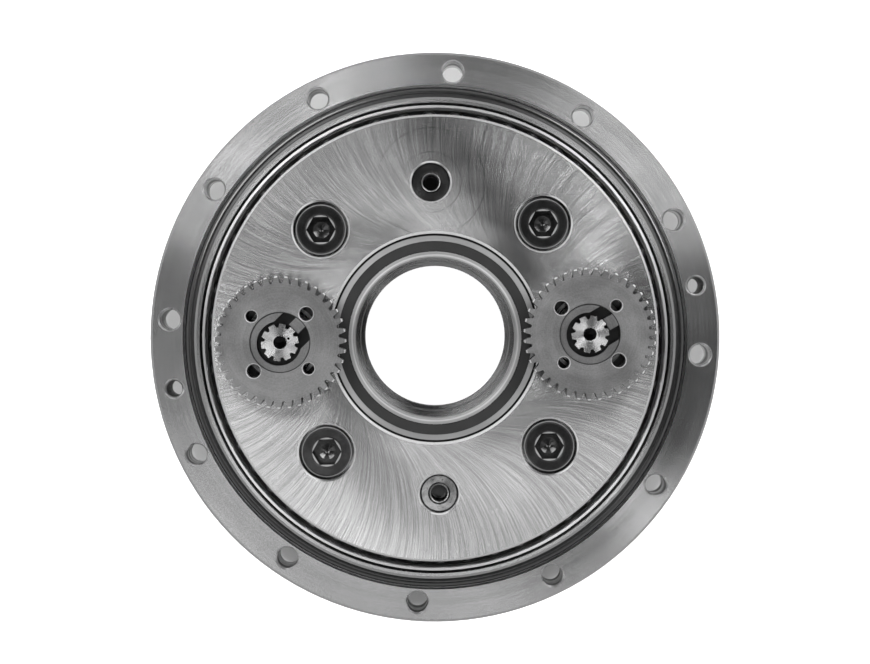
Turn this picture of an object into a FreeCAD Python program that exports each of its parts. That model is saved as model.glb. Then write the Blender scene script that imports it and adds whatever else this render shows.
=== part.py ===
import FreeCAD, Part
import math
import os
import Sketcher
from FreeCAD import Placement, Rotation, Vector
from fcgear import fcgear, involute

# A hollow-shaft cycloidal reducer, standing on its output face with the input gears on top.
# The main axis is Z, the two crankshafts stand on the X axis, and every length is in millimetres.

# The driving sizes: name, value, what it is
SIZES = [
    ("case_bolt_rim", 6.15, "flange's width outside the bolt circle"),
    ("case_flange_thick", 20.0, "thickness of the bolting flange"),
    ("case_flange_z", 22.0, "height of the flange's underside"),
    ("case_body_wall", 6.5, "wall of the case below the flange"),
    ("case_low_z", 1.5, "height of the case's lower rim"),
    ("case_spigot_wall", 2.2, "wall of the pilot spigot above the flange"),
    ("case_spigot_rise", 17.5, "height of the spigot above the flange"),
    ("case_edge", 0.8, "chamfer on the case's rims"),
    ("case_turn", -5.33, "angle of the case's first bolt hole, degrees"),
    ("case_bolt_count", 12, "flange bolt holes"),
    ("case_bolt_land", 4.3, "distance from the o-ring groove to the bolt circle"),
    ("case_bolt_hole_r", 3.3, "clearance hole for a 6 mm bolt"),
    ("case_bolt_edge", 0.6, "chamfer on a flange bolt hole"),
    ("jack_count", 2, "tapped jacking holes in the flange"),
    ("jack_hole_r", 3.0, "thread radius of a 6 mm jacking hole"),
    ("jack_edge", 0.4, "chamfer on a jacking hole"),
    ("oring_cord_r", 1.9, "half thickness of the case o-ring"),
    ("oring_groove_width", 5.35, "width of the o-ring groove"),
    ("oring_groove_depth", 2.7, "depth of the o-ring groove"),
    ("pin_count", 52, "ring pins"),
    ("pin_circle_r", 68.0, "circle of the ring pins' axes"),
    ("pin_r", 2.5, "radius of a ring pin"),
    ("pin_wrap", 0.2, "wall between the pins, inside their circle"),
    ("pin_end_gap", 0.05, "axial play of a ring pin, each end"),
    ("ring_length", 23.5, "length of the ring between the main bearings"),
    ("pin_shoulder", 3.0, "wall outside the pins, which the main bearings seat against"),
    ("main_width", 12.5, "width of a main bearing"),
    ("main_top_gap", 0.5, "depth of the upper main bearing below the case's rim"),
    ("main_section", 8.5, "radial depth of a main bearing"),
    ("main_ball_count", 52, "balls in a main bearing"),
    ("main_ball_rise", 4.1, "balls' circle outside the bearing's bore"),
    ("main_ball_r", 2.75, "radius of a main bearing ball"),
    ("main_lip", 1.1, "height of a race's high lip from the balls' circle"),
    ("main_open_wall", 1.1, "wall of the outer race's open side"),
    ("ball_gap", 0.15, "clearance between a ball and its races or cage"),
    ("main_cage_wall", 1.2, "thickness of the main bearing cage"),
    ("main_cage_height", 8.0, "height of the main bearing cage"),
    ("race_edge", 0.4, "chamfer on a race's outer edges"),
    ("seal_width", 7.0, "width of the output oil seal"),
    ("seal_gap", 1.0, "space between the oil seal and the main bearing"),
    ("seal_depth", 7.0, "radial depth of the output oil seal"),
    ("seal_sheet", 1.2, "thickness of the seal's shell"),
    ("run_gap", 0.08, "running clearance of a lip or a shaft"),
    ("fit_gap", 0.03, "clearance of a fastener in its hole"),
    ("rim_over", 5.1, "reach of the hold flange's top rim over the upper main bearing"),
    ("rim_thick", 2.0, "height of the hold flange's top rim"),
    ("rim_edge", 0.7, "chamfer on the carrier's rims"),
    ("centre_bore_wall", 1.5, "wall between a crank bearing's bore and the centre bearing"),
    ("centre_section", 7.5, "radial depth of the centre bearing"),
    ("centre_width", 7.0, "width of the centre bearing"),
    ("centre_recess", 0.8, "depth of the centre bearing below the top face"),
    ("centre_wall", 2.1, "wall of the centre bearing's rings at their shoulders"),
    ("centre_ball_r", 2.0, "radius of a centre bearing ball"),
    ("centre_ball_count", 20, "balls in the centre bearing"),
    ("centre_cage_wall", 0.9, "thickness of the centre bearing cage"),
    ("centre_cage_height", 4.4, "height of the centre bearing cage"),
    ("centre_seal_thick", 0.8, "thickness of the centre bearing's seals"),
    ("centre_seal_inset", 0.2, "depth of those seals in the bearing"),
    ("centre_edge", 1.0, "chamfer on the hold flange's bore"),
    ("centre_ledge", 3.0, "ledge that the centre bearing stands on"),
    ("tube_ledge", 1.1, "ledge that the centre tube stands on"),
    ("tube_seat_depth", 9.0, "depth of that bore"),
    ("tube_room", 0.4, "output shaft's bore inside the centre bearing's bore"),
    ("disc_bore_step", 0.5, "disc's centre hole inside the hold flange's bore"),
    ("disc_thick", 10.5, "thickness of a cycloidal disc"),
    ("disc_gap", 0.7, "space between the two discs"),
    ("disc_side_gap", 0.6, "space between a disc and the carrier"),
    ("lobe_gap", 0.12, "clearance between a disc's edge and the pins"),
    ("eccentricity", 1.0, "offset of the crank's eccentrics"),
    ("crank_phase", 0.0, "direction of the lower eccentrics, degrees"),
    ("crank_inset", 20.0, "distance of a crankshaft inside the pins' circle"),
    ("crank_lobe_r", 9.5, "radius of an eccentric"),
    ("crank_lobe_over", 0.3, "eccentric's reach past its disc"),
    ("crank_journal_r", 7.5, "radius of the crank's bearing journals"),
    ("crank_neck_r", 7.2, "radius of the crank under its gear"),
    ("crank_foot_gap", 0.4, "space under the crank's lower end"),
    ("crank_tip_rise", 1.0, "crank end above the gear's face"),
    ("crank_drill_r", 1.9, "centre hole in the crank's end"),
    ("crank_drill_depth", 4.0, "depth of that hole"),
    ("crank_drill_edge", 0.4, "chamfer on that hole"),
    ("spline_count", 10, "spline teeth on the crank's end"),
    ("spline_tip_r", 5.85, "spline tips"),
    ("spline_root_r", 4.7, "spline roots"),
    ("spline_tip_width", 2.0, "width of a spline tooth at its tip"),
    ("spline_gap_width", 0.7, "width of a spline gap at its root"),
    ("crank_seat_r", 14.0, "carrier bore for a crank bearing"),
    ("crank_bearing_width", 11.1, "width of a crank's taper roller bearing"),
    ("cup_width", 9.0, "width of the bearing's cup"),
    ("cone_width", 10.4, "width of the bearing's cone"),
    ("roller_count", 16, "rollers in a crank bearing"),
    ("roller_r", 1.4, "mean radius of a roller"),
    ("roller_length", 7.0, "length of a roller"),
    ("roller_pitch_r", 10.75, "circle of the rollers at their middle"),
    ("roller_mid", 5.1, "distance from the cup's back to the rollers' middle"),
    ("roller_tilt", 12.0, "angle of a roller to the crank's axis, degrees"),
    ("roller_taper", 1.5, "half angle of a roller's taper, degrees"),
    ("roll_gap", 0.1, "clearance between a roller and its raceways"),
    ("cone_rib_r", 10.9, "large rib of the cone"),
    ("cone_foot_r", 8.95, "small rib of the cone"),
    ("cage_wall", 0.8, "thickness of a roller or needle cage"),
    ("cage_gap", 0.12, "clearance of a roller in its cage"),
    ("cage_end", 0.8, "end ring of a roller or needle cage"),
    ("circlip_thick", 1.2, "thickness of the crank bore circlip"),
    ("circlip_depth", 0.7, "depth of the circlip's groove"),
    ("circlip_width", 2.5, "radial width of the circlip"),
    ("circlip_open", 7.0, "opening of the circlip"),
    ("needle_count", 16, "needles under a disc"),
    ("needle_length", 9.0, "length of a needle"),
    ("needle_space", 3.0, "space between the eccentric and the disc's bore"),
    ("pillar_inset", 19.75, "middle line of a carrier pillar inside the pins' circle"),
    ("pillar_half", 8.75, "half width of a carrier pillar"),
    ("pillar_start", 40.0, "angle of a pillar's end centre, degrees"),
    ("pillar_split", 5.2, "length of the hold flange's part of a pillar"),
    ("window_gap", 0.5, "space left between a pillar and its window"),
    ("screw_count", 4, "carrier screws"),
    ("screw_offset", 1.15, "circle of the carrier screws outside the pillar's middle line"),
    ("screw_turn", 45.0, "angle of the first carrier screw, degrees"),
    ("screw_r", 5.0, "thread radius of a carrier screw"),
    ("screw_length", 28.0, "length of a carrier screw under its head"),
    ("screw_head_r", 8.0, "radius of its head"),
    ("screw_head_high", 10.0, "height of its head"),
    ("screw_head_sunk", 1.0, "depth of the head below the top face"),
    ("screw_head_edge", 0.85, "chamfer on its head"),
    ("screw_socket", 8.0, "width across its hexagon socket"),
    ("screw_socket_deep", 5.0, "depth of that socket"),
    ("screw_sink_r", 5.0, "mouth of the socket's countersink"),
    ("screw_sink_deep", 0.6, "depth of that countersink"),
    ("screw_drill_r", 2.6, "drilled recess in the socket's floor"),
    ("screw_drill_deep", 1.3, "depth of that recess"),
    ("screw_hole_spare", 2.0, "thread depth below a carrier screw's tip"),
    ("counterbore_r", 8.7, "counterbore for the screw's head"),
    ("counterbore_edge", 0.5, "chamfer on that counterbore"),
    ("dowel_count", 2, "dowel pins between the carrier's halves"),
    ("dowel_offset", 0.65, "circle of the dowel pins outside the pillar's middle line"),
    ("dowel_turn", 90.0, "angle of the first dowel pin, degrees"),
    ("dowel_r", 6.0, "radius of a dowel pin"),
    ("dowel_length", 34.0, "length of a dowel pin"),
    ("dowel_sunk", 2.5, "depth of its end below the top face"),
    ("dowel_edge", 0.5, "chamfer on its ends and hole"),
    ("dowel_tap_r", 3.0, "thread radius of the puller hole in a dowel pin"),
    ("dowel_tap_deep", 10.0, "depth of that hole"),
    ("dowel_mouth_r", 6.1, "mouth of the dowel's hole"),
    ("dowel_mouth_deep", 9.0, "depth of that mouth"),
    ("output_hole_count", 12, "tapped holes in the output face"),
    ("output_inset", 10.5, "their circle inside the output shaft's rim"),
    ("output_hole_r", 4.0, "thread radius of an 8 mm hole"),
    ("output_hole_deep", 10.5, "depth of an output hole"),
    ("output_hole_edge", 0.5, "chamfer on an output hole"),
    ("output_turn_angle", 15.0, "angle of the first output hole, degrees"),
    ("gear_module", 1.0, "module of the spur gears"),
    ("gear_teeth", 39, "teeth of a spur gear"),
    ("gear_thick", 8.5, "width of a spur gear"),
    ("gear_edge", 0.4, "chamfer on the tips of its teeth"),
    ("gear_gap", 1.5, "space between a spur gear and the hold flange"),
    ("gear_phase_left", 1.07, "angle of the left gear's first tooth, degrees"),
    ("gear_phase_right", -0.33, "angle of the right gear's first tooth, degrees"),
    ("web_count", 4, "web holes of a gear"),
    ("gear_hole_r", 12.0, "circle of the gear's web holes"),
    ("gear_hole_big_r", 2.15, "radius of the larger web holes"),
    ("gear_hole_small_r", 1.8, "radius of the smaller web holes"),
    ("gear_hole_edge", 0.3, "chamfer on a web hole"),
    ("gear_recess_r", 9.3, "round recess in the gear's face"),
    ("gear_recess_deep", 1.6, "depth of that recess"),
    ("gear_well_r", 6.9, "well round the crank's end"),
    ("gear_well_shift", 0.45, "offset of the well away from its mouth"),
    ("gear_well_deep", 4.5, "depth of the well"),
    ("gear_well_half", 5.9, "half width of the well's straight mouth"),
    ("gear_key_width", 4.0, "width of the tongue left in the well's mouth"),
    ("clip_thick", 1.2, "thickness of the gear's retaining clip"),
    ("clip_rim_gap", 0.1, "clearance round the clip"),
    ("spline_turn_left", 7.5, "angle of the left crank's first spline tooth, degrees"),
    ("spline_turn_right", 5.5, "angle of the right crank's first spline tooth, degrees"),
    ("clip_turn_left", 43.0, "direction of the left clip's opening, degrees"),
    ("clip_turn_right", 28.5, "direction of the right clip's opening, degrees"),
    ("web_turn", 46.0, "angle of the left gear's larger web holes, degrees"),
]

doc = FreeCAD.newDocument("cycloidal_reducer")
sheet = doc.addObject("Spreadsheet::Sheet", "Sizes")
for row, (name, value, note) in enumerate(SIZES, 1):
    sheet.set(f"A{row}", f"'{name}")
    sheet.set(f"B{row}", str(value))
    sheet.setAlias(f"B{row}", name)
    sheet.set(f"C{row}", f"'{note}")
doc.recompute()


class Size:
    """A value together with the sheet expression that it comes from."""

    def __init__(self, value, text):
        self.value = value
        self.text = text

    def joined(self, other, sign, value):
        return Size(value, f"({self.text} {sign} {size(other).text})")

    def __add__(self, other):
        return self.joined(other, "+", self.value + size(other).value)

    def __sub__(self, other):
        return self.joined(other, "-", self.value - size(other).value)

    def __mul__(self, other):
        return self.joined(other, "*", self.value * size(other).value)

    def __truediv__(self, other):
        return self.joined(other, "/", self.value / size(other).value)

    def __rsub__(self, other):
        return size(other) - self

    def __neg__(self):
        return size(0) - self

    def __rtruediv__(self, other):
        return size(other) / self

    __radd__ = __add__
    __rmul__ = __mul__


def size(number):
    return number if isinstance(number, Size) else Size(number, repr(number))


def trig(word, function, angle):
    angle = size(angle)
    return Size(function(math.radians(angle.value)), f"{word}({angle.text} * 1 deg)")


def sine(angle):
    return trig("sin", math.sin, angle)


def cosine(angle):
    return trig("cos", math.cos, angle)


def tangent(angle):
    return trig("tan", math.tan, angle)


class Named:
    """The driving sizes and the radii that follow from them, read by name."""


d = Named()
for name, value, note in SIZES:
    setattr(d, name, Size(value, f"Sizes.{name}"))

# Radii that the pieces share, from the ring pins outwards
d.main_seat_r = d.pin_circle_r + d.pin_r + d.pin_shoulder
d.main_open_r = d.main_seat_r - d.main_open_wall
d.case_body_r = d.main_seat_r + d.case_body_wall
d.case_spigot_r = d.main_seat_r + d.case_spigot_wall
d.case_bolt_circle_r = d.case_spigot_r + d.oring_groove_width + d.case_bolt_land
d.case_flange_r = d.case_bolt_circle_r + d.case_bolt_rim

# Radii from the main bearings inwards
d.main_journal_r = d.main_seat_r - d.main_section
d.main_pitch_r = d.main_journal_r + d.main_ball_rise
d.rim_r = d.main_journal_r + d.rim_over
d.seal_journal_r = d.main_seat_r - d.seal_depth
d.output_circle_r = d.seal_journal_r - d.output_inset
d.crank_centre_r = d.pin_circle_r - d.crank_inset
d.pillar_mid_r = d.pin_circle_r - d.pillar_inset
d.screw_circle_r = d.pillar_mid_r + d.screw_offset
d.dowel_circle_r = d.pillar_mid_r + d.dowel_offset
d.centre_seat_r = d.crank_centre_r - d.crank_seat_r - d.centre_bore_wall
d.centre_bore_r = d.centre_seat_r - d.centre_section
d.hold_bore_r = d.centre_seat_r - d.centre_ledge
d.disc_bore_r = d.hold_bore_r - d.disc_bore_step
d.shaft_bore_r = d.centre_bore_r - d.tube_room
d.tube_seat_r = d.shaft_bore_r - d.tube_ledge

# Heights that the pieces share, from the case's rim down
case_flange_top = d.case_flange_z + d.case_flange_thick
case_top = case_flange_top + d.case_spigot_rise
upper_race_top = case_top - d.main_top_gap
ring_top = upper_race_top - d.main_width
ring_low = ring_top - d.ring_length
lower_race_low = ring_low - d.main_width
seal_low = lower_race_low - d.seal_gap - d.seal_width
hold_top = upper_race_top + d.rim_thick
mid_z = (ring_low + ring_top) / 2
lower_disc_low = mid_z - d.disc_gap / 2 - d.disc_thick
upper_disc_low = mid_z + d.disc_gap / 2
upper_disc_top = upper_disc_low + d.disc_thick
plate_top = lower_disc_low - d.disc_side_gap
hold_low = upper_disc_top + d.disc_side_gap
split_z = hold_low - d.pillar_split
lobe_low = lower_disc_low - d.crank_lobe_over
lobe_top = upper_disc_top + d.crank_lobe_over
crank_floor = lobe_low - d.crank_bearing_width
crank_ceiling = lobe_top + d.crank_bearing_width
gear_low = hold_top + d.gear_gap
gear_top = gear_low + d.gear_thick
crank_top = gear_top + d.crank_tip_rise
centre_top = hold_top - d.centre_recess
centre_low = centre_top - d.centre_width
screw_seat = hold_top - d.screw_head_sunk - d.screw_head_high
screw_tip = screw_seat - d.screw_length
dowel_top = hold_top - d.dowel_sunk
dowel_low = dowel_top - d.dowel_length
disc_hole_r = d.crank_lobe_r + d.needle_space

# Which way the left and right cranks lie along X
SIDES = {"left": -1, "right": 1}
nodes = []


def bind(thing, **properties):
    for key, number in properties.items():
        thing.setExpression(key, size(number).text)
    return thing


def place(thing, x=0, y=0, z=0, turn=None):
    start = Vector(size(x).value, size(y).value, size(z).value)
    thing.Placement = Placement(start, turn or Rotation())
    for axis, number in zip("xyz", (x, y, z)):
        if isinstance(number, Size):
            thing.setExpression(f"Placement.Base.{axis}", number.text)
    return thing


def keep(label, thing):
    """Makes a thing one of the reducer's own pieces."""
    thing.Label = label
    nodes.append((label, thing))
    return thing


# Part primitives and booleans

def cylinder(name, radius, height, x=0, y=0, z=0, turn=None):
    solid = doc.addObject("Part::Cylinder", name)
    bind(solid, Radius=radius, Height=height)
    return place(solid, x, y, z, turn)


def cone(name, low_r, high_r, height, x=0, y=0, z=0, turn=None):
    solid = doc.addObject("Part::Cone", name)
    bind(solid, Radius1=low_r, Radius2=high_r, Height=height)
    return place(solid, x, y, z, turn)


def box(name, length, width, height, x=0, y=0, z=0, turn=None):
    solid = doc.addObject("Part::Box", name)
    bind(solid, Length=length, Width=width, Height=height)
    return place(solid, x, y, z, turn)


def cut(name, base, tool):
    result = doc.addObject("Part::Cut", name)
    result.Base = base
    result.Tool = tool
    return result


def joined(name, *solids):
    result = doc.addObject("Part::MultiFuse", name)
    result.Shapes = list(solids)
    return result


def shared(name, *solids):
    result = doc.addObject("Part::MultiCommon", name)
    result.Shapes = list(solids)
    return result


def group(name, solids):
    result = doc.addObject("Part::Compound", name)
    result.Links = list(solids)
    return result


def prism(name, wire, height, x=0, y=0, z=0):
    """A solid of the given closed outline, which stands on the given point."""
    outline_shape = doc.addObject("Part::Feature", name + "_outline")
    outline_shape.Shape = wire
    place(outline_shape, x, y, z)
    result = doc.addObject("Part::Extrusion", name)
    result.Base = outline_shape
    result.Dir = Vector(0, 0, 1)
    result.Solid = True
    bind(result, LengthFwd=height)
    return result


# Bodies made of sketches and features

def new_body(label):
    body = doc.addObject("PartDesign::Body", label)
    body.Label = label
    return body


def origin_part(body, role):
    return next(part for part in body.Origin.OriginFeatures if part.Role == role)


def flat_sketch(body, name, height):
    """A sketch that lies level at a height."""
    sketch = body.newObject("Sketcher::SketchObject", name)
    sketch.AttachmentSupport = (origin_part(body, "XY_Plane"), [""])
    sketch.MapMode = "FlatFace"
    bind(sketch, **{"AttachmentOffset.Base.z": height})
    return sketch


def section_sketch(body, name, angle=0):
    """An upright sketch through the main axis: its X is the radius, its Y the height."""
    sketch = body.newObject("Sketcher::SketchObject", name)
    sketch.AttachmentSupport = (origin_part(body, "XZ_Plane"), [""])
    sketch.MapMode = "FlatFace"
    sketch.AttachmentOffset = Placement(Vector(), Rotation(Vector(0, 1, 0), size(angle).value))
    return sketch


def fixed_point(sketch, geometry, end, x, y):
    for kind, axis, number in (("DistanceX", -2, size(x)), ("DistanceY", -1, size(y))):
        if number.text == "0":
            sketch.addConstraint(Sketcher.Constraint("PointOnObject", geometry, end, axis))
            continue
        rule = Sketcher.Constraint(kind, -1, 1, geometry, end, number.value)
        index = sketch.addConstraint(rule)
        sketch.setExpression(f"Constraints[{index}]", number.text)


def outline(sketch, corners):
    """A closed run of straight lines through the given corners."""
    points = [Vector(size(x).value, size(y).value, 0) for x, y in corners]
    first = sketch.GeometryCount
    count = len(points)
    lines = [Part.LineSegment(points[k], points[(k + 1) % count]) for k in range(count)]
    sketch.addGeometry(lines, False)
    joints = [
        Sketcher.Constraint("Coincident", first + k, 2, first + (k + 1) % count, 1)
        for k in range(count)
    ]
    sketch.addConstraint(joints)
    for k, (x, y) in enumerate(corners):
        fixed_point(sketch, first + k, 1, x, y)


def circle(sketch, x, y, radius):
    centre = Vector(size(x).value, size(y).value, 0)
    index = sketch.addGeometry(Part.Circle(centre, Vector(0, 0, 1), size(radius).value), False)
    fixed_point(sketch, index, 3, x, y)
    rule = sketch.addConstraint(Sketcher.Constraint("Radius", index, size(radius).value))
    sketch.setExpression(f"Constraints[{rule}]", size(radius).text)


def arc_slot(sketch, mid_r, half, start):
    """A slot bent round the main axis, from the start angle to its mirror image."""
    up = Vector(0, 0, 1)
    low, high = math.radians(start.value), math.radians(180 - start.value)
    wide, slim = mid_r + half, mid_r - half

    def arc(x, y, radius, begin, finish):
        ring = Part.Circle(Vector(x, y, 0), up, radius)
        return sketch.addGeometry(Part.ArcOfCircle(ring, begin, finish), False)

    def end_arc(angle, begin):
        x, y = mid_r.value * math.cos(angle), mid_r.value * math.sin(angle)
        return arc(x, y, half.value, begin, begin + math.pi)

    outer = arc(0, 0, wide.value, low, high)
    inner = arc(0, 0, slim.value, low, high)
    far = end_arc(high, high)
    near = end_arc(low, low + math.pi)
    for one, one_end, other, other_end in (
        (outer, 2, far, 1),
        (far, 2, inner, 2),
        (inner, 1, near, 1),
        (near, 2, outer, 1),
    ):
        sketch.addConstraint(Sketcher.Constraint("Tangent", one, one_end, other, other_end))
    sketch.addConstraint(Sketcher.Constraint("Coincident", outer, 3, -1, 1))
    sketch.addConstraint(Sketcher.Constraint("Coincident", inner, 3, -1, 1))
    reach = mid_r * cosine(start)
    for kind, geometry, number in (
        ("Radius", outer, wide),
        ("Radius", inner, slim),
    ):
        rule = sketch.addConstraint(Sketcher.Constraint(kind, geometry, number.value))
        sketch.setExpression(f"Constraints[{rule}]", number.text)
    for geometry, number in ((near, reach), (far, -reach)):
        rule = sketch.addConstraint(
            Sketcher.Constraint("DistanceX", -1, 1, geometry, 3, number.value)
        )
        sketch.setExpression(f"Constraints[{rule}]", number.text)


def turned(body, name, corners, angle=0, kind="PartDesign::Revolution"):
    """Adds, or as a groove removes, the shape that a half section sweeps round the main axis."""
    sketch = section_sketch(body, name + "_section", angle)
    outline(sketch, corners)
    feature = body.newObject(kind, name)
    feature.Profile = sketch
    feature.ReferenceAxis = (sketch, ["V_Axis"])
    feature.Angle = 360
    return feature


def drilled(body, name, radius, angle, corners):
    """Bores a hole: corners are (hole radius, height) pairs, turned about the hole's own axis."""
    sketch = section_sketch(body, name + "_section", angle)
    outline(sketch, [(radius + wide, high) for wide, high in corners])
    heights = [size(high) for wide, high in corners]
    low = min(heights, key=lambda number: number.value)
    top = max(heights, key=lambda number: number.value)
    ends = [Vector(radius.value, low.value, 0), Vector(radius.value, top.value, 0)]
    axis = sketch.addGeometry(Part.LineSegment(*ends), True)
    fixed_point(sketch, axis, 1, radius, low)
    fixed_point(sketch, axis, 2, radius, top)
    feature = body.newObject("PartDesign::Groove", name)
    feature.Profile = sketch
    feature.ReferenceAxis = (sketch, ["Axis0"])
    feature.Angle = 360
    return feature


def repeated(body, feature, count):
    """Repeats a feature round the main axis."""
    pattern = body.newObject("PartDesign::PolarPattern", feature.Name + "_pattern")
    pattern.Originals = [feature]
    pattern.Axis = (origin_part(body, "Z_Axis"), [""])
    pattern.Angle = 360
    bind(pattern, Occurrences=count)
    body.Tip = pattern
    return pattern


def through_hole(wide, low, top, edge):
    """The half section of a straight hole with a chamfer at both mouths."""
    return [
        (0, low),
        (wide + edge, low),
        (wide, low + edge),
        (wide, top - edge),
        (wide + edge, top),
        (0, top),
    ]


def blind_hole(wide, floor, mouth, edge):
    """The half section of a blind hole with a chamfer at its mouth, which may face up or down."""
    inward = edge if mouth.value < floor.value else -edge
    return [(0, floor), (wide, floor), (wide, mouth + inward), (wide + edge, mouth), (0, mouth)]


def raceway(ring, circle_r, middle, room):
    """Cuts the groove for a ring of balls."""
    sketch = section_sketch(ring, ring.Label + "_raceway_section")
    circle(sketch, circle_r, middle, room)
    feature = ring.newObject("PartDesign::Groove", ring.Label + "_raceway")
    feature.Profile = sketch
    feature.ReferenceAxis = (sketch, ["V_Axis"])
    feature.Angle = 360


def turned_piece(label, corners, x=0):
    """A plain turned piece on the main axis, or on an axis beside it."""
    body = new_body(label)
    turned(body, label + "_turned", corners)
    return place(body, x)


def make_case():
    body = new_body("case")
    edge = d.case_edge
    groove_r = d.case_spigot_r + d.oring_groove_width
    groove_low = case_flange_top - d.oring_groove_depth
    wall_r = d.pin_circle_r - d.pin_wrap
    turned(body, "case_turned", [
        (d.case_body_r - edge, d.case_low_z),
        (d.case_body_r, d.case_low_z + edge),
        (d.case_body_r, d.case_flange_z),
        (d.case_flange_r - edge, d.case_flange_z),
        (d.case_flange_r, d.case_flange_z + edge),
        (d.case_flange_r, case_flange_top - edge),
        (d.case_flange_r - edge, case_flange_top),
        (groove_r, case_flange_top),
        (groove_r, groove_low),
        (d.case_spigot_r, groove_low),
        (d.case_spigot_r, case_top - edge),
        (d.case_spigot_r - edge, case_top),
        (d.main_seat_r + d.race_edge, case_top),
        (d.main_seat_r, case_top - d.race_edge),
        (d.main_seat_r, ring_top),
        (wall_r, ring_top),
        (wall_r, ring_low),
        (d.main_seat_r, ring_low),
        (d.main_seat_r, d.case_low_z + edge),
        (d.main_seat_r + edge, d.case_low_z),
    ])
    groove = d.pin_r + d.fit_gap
    pin_groove = drilled(body, "pin_groove", d.pin_circle_r, d.case_turn, [
        (0, ring_low), (groove, ring_low), (groove, ring_top), (0, ring_top),
    ])
    repeated(body, pin_groove, d.pin_count)
    bolt = drilled(body, "bolt_hole", d.case_bolt_circle_r, d.case_turn, through_hole(
        d.case_bolt_hole_r, d.case_flange_z, case_flange_top, d.case_bolt_edge))
    repeated(body, bolt, d.case_bolt_count)
    half_step = 180 / d.case_bolt_count
    jack = drilled(body, "jack_hole", d.case_bolt_circle_r, d.case_turn + half_step, through_hole(
        d.jack_hole_r, d.case_flange_z, case_flange_top, d.jack_edge))
    repeated(body, jack, d.jack_count)
    keep("case", body)


def make_case_oring():
    ring = doc.addObject("Part::Torus", "case_o_ring")
    bind(ring, Radius1=d.case_spigot_r + d.oring_groove_width / 2, Radius2=d.oring_cord_r)
    place(ring, z=case_flange_top - d.oring_groove_depth + d.oring_cord_r)
    keep("case_o_ring", ring)


def round_the_axis(count, start=0):
    """Evenly spaced angles in degrees."""
    step = 360 / count
    return [size(start) + step * k for k in range(int(count.value))]


def make_ring_pins():
    length = d.ring_length - d.pin_end_gap * 2
    foot = ring_low + d.pin_end_gap
    circle_r = d.pin_circle_r
    pins = [
        cylinder("ring_pin", d.pin_r, length, circle_r * cosine(a), circle_r * sine(a), foot)
        for a in round_the_axis(d.pin_count, d.case_turn)
    ]
    keep("ring_pins", group("ring_pins", pins))


def make_output_seal():
    """A lip seal: a pressed shell in the case, and a lip that runs on the output shaft."""
    outer, sheet_wall = d.main_seat_r, d.seal_sheet
    lip = d.seal_journal_r + d.run_gap
    top = seal_low + d.seal_width
    base = seal_low + sheet_wall
    keep("output_oil_seal", turned_piece("output_oil_seal", [
        (outer, seal_low),
        (outer, top),
        (outer - sheet_wall, top),
        (outer - sheet_wall, base),
        (lip + sheet_wall * 2, base),
        (lip + sheet_wall * 2, top - sheet_wall),
        (lip + sheet_wall, top - sheet_wall / 2),
        (lip, top - sheet_wall * 2),
        (lip + sheet_wall / 2, base),
        (lip, seal_low),
    ]))


def main_bearing_heights(level):
    """The race's faces next to the discs and away from them, and the balls' height."""
    near, far = (ring_top, upper_race_top) if level == "upper" else (ring_low, lower_race_low)
    return near, far, (near + far) / 2


def make_main_bearing(level):
    """An angular contact ball bearing: two races, a ring of balls and their cage."""
    near, far, middle = main_bearing_heights(level)
    edge = d.race_edge if level == "upper" else -d.race_edge
    ball_room = d.main_ball_r + d.ball_gap
    low_in = d.main_pitch_r - d.main_ball_r
    high_out, high_in = d.main_pitch_r + d.main_lip, d.main_pitch_r - d.main_lip
    name = f"{level}_main_bearing"
    outer = turned_piece(name + "_outer_race", [
        (high_out, near),
        (d.main_seat_r, near),
        (d.main_seat_r, far - edge),
        (d.main_seat_r - d.race_edge, far),
        (d.main_open_r, far),
        (d.main_open_r, middle),
        (high_out, middle),
    ])
    inner = turned_piece(name + "_inner_race", [
        (d.main_journal_r, near), (low_in, near), (low_in, middle),
        (high_in, middle), (high_in, far), (d.main_journal_r, far),
    ])
    for race in (outer, inner):
        raceway(race, d.main_pitch_r, middle, ball_room)
        keep(race.Label, race)
    make_ball_set(name, d.main_ball_count, d.main_pitch_r, middle, d.main_ball_r,
                  d.main_cage_wall, d.main_cage_height)


def make_ball_set(name, count, pitch_r, middle, ball_r, wall, height):
    """A ring of balls in a plain cage with one round window for each ball."""
    balls, windows = [], []
    for angle in round_the_axis(count):
        x, y = pitch_r * cosine(angle), pitch_r * sine(angle)
        ball = doc.addObject("Part::Sphere", name + "_ball")
        bind(ball, Radius=ball_r)
        balls.append(place(ball, x, y, middle))
        outward = Rotation(Vector(0, 0, 1), Vector(cosine(angle).value, sine(angle).value, 0))
        inside = pitch_r - ball_r
        windows.append(cylinder(name + "_window", ball_r + d.ball_gap, ball_r * 2,
                                inside * cosine(angle), inside * sine(angle), middle, outward))
    keep(name + "_balls", group(name + "_balls", balls))
    low, high = middle - height / 2, middle + height / 2
    thin, wide = pitch_r - wall / 2, pitch_r + wall / 2
    band = [(thin, low), (wide, low), (wide, high), (thin, high)]
    blank = turned_piece(name + "_cage_blank", band)
    keep(name + "_cage", cut(name + "_cage", blank, group(name + "_windows", windows)))


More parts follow.
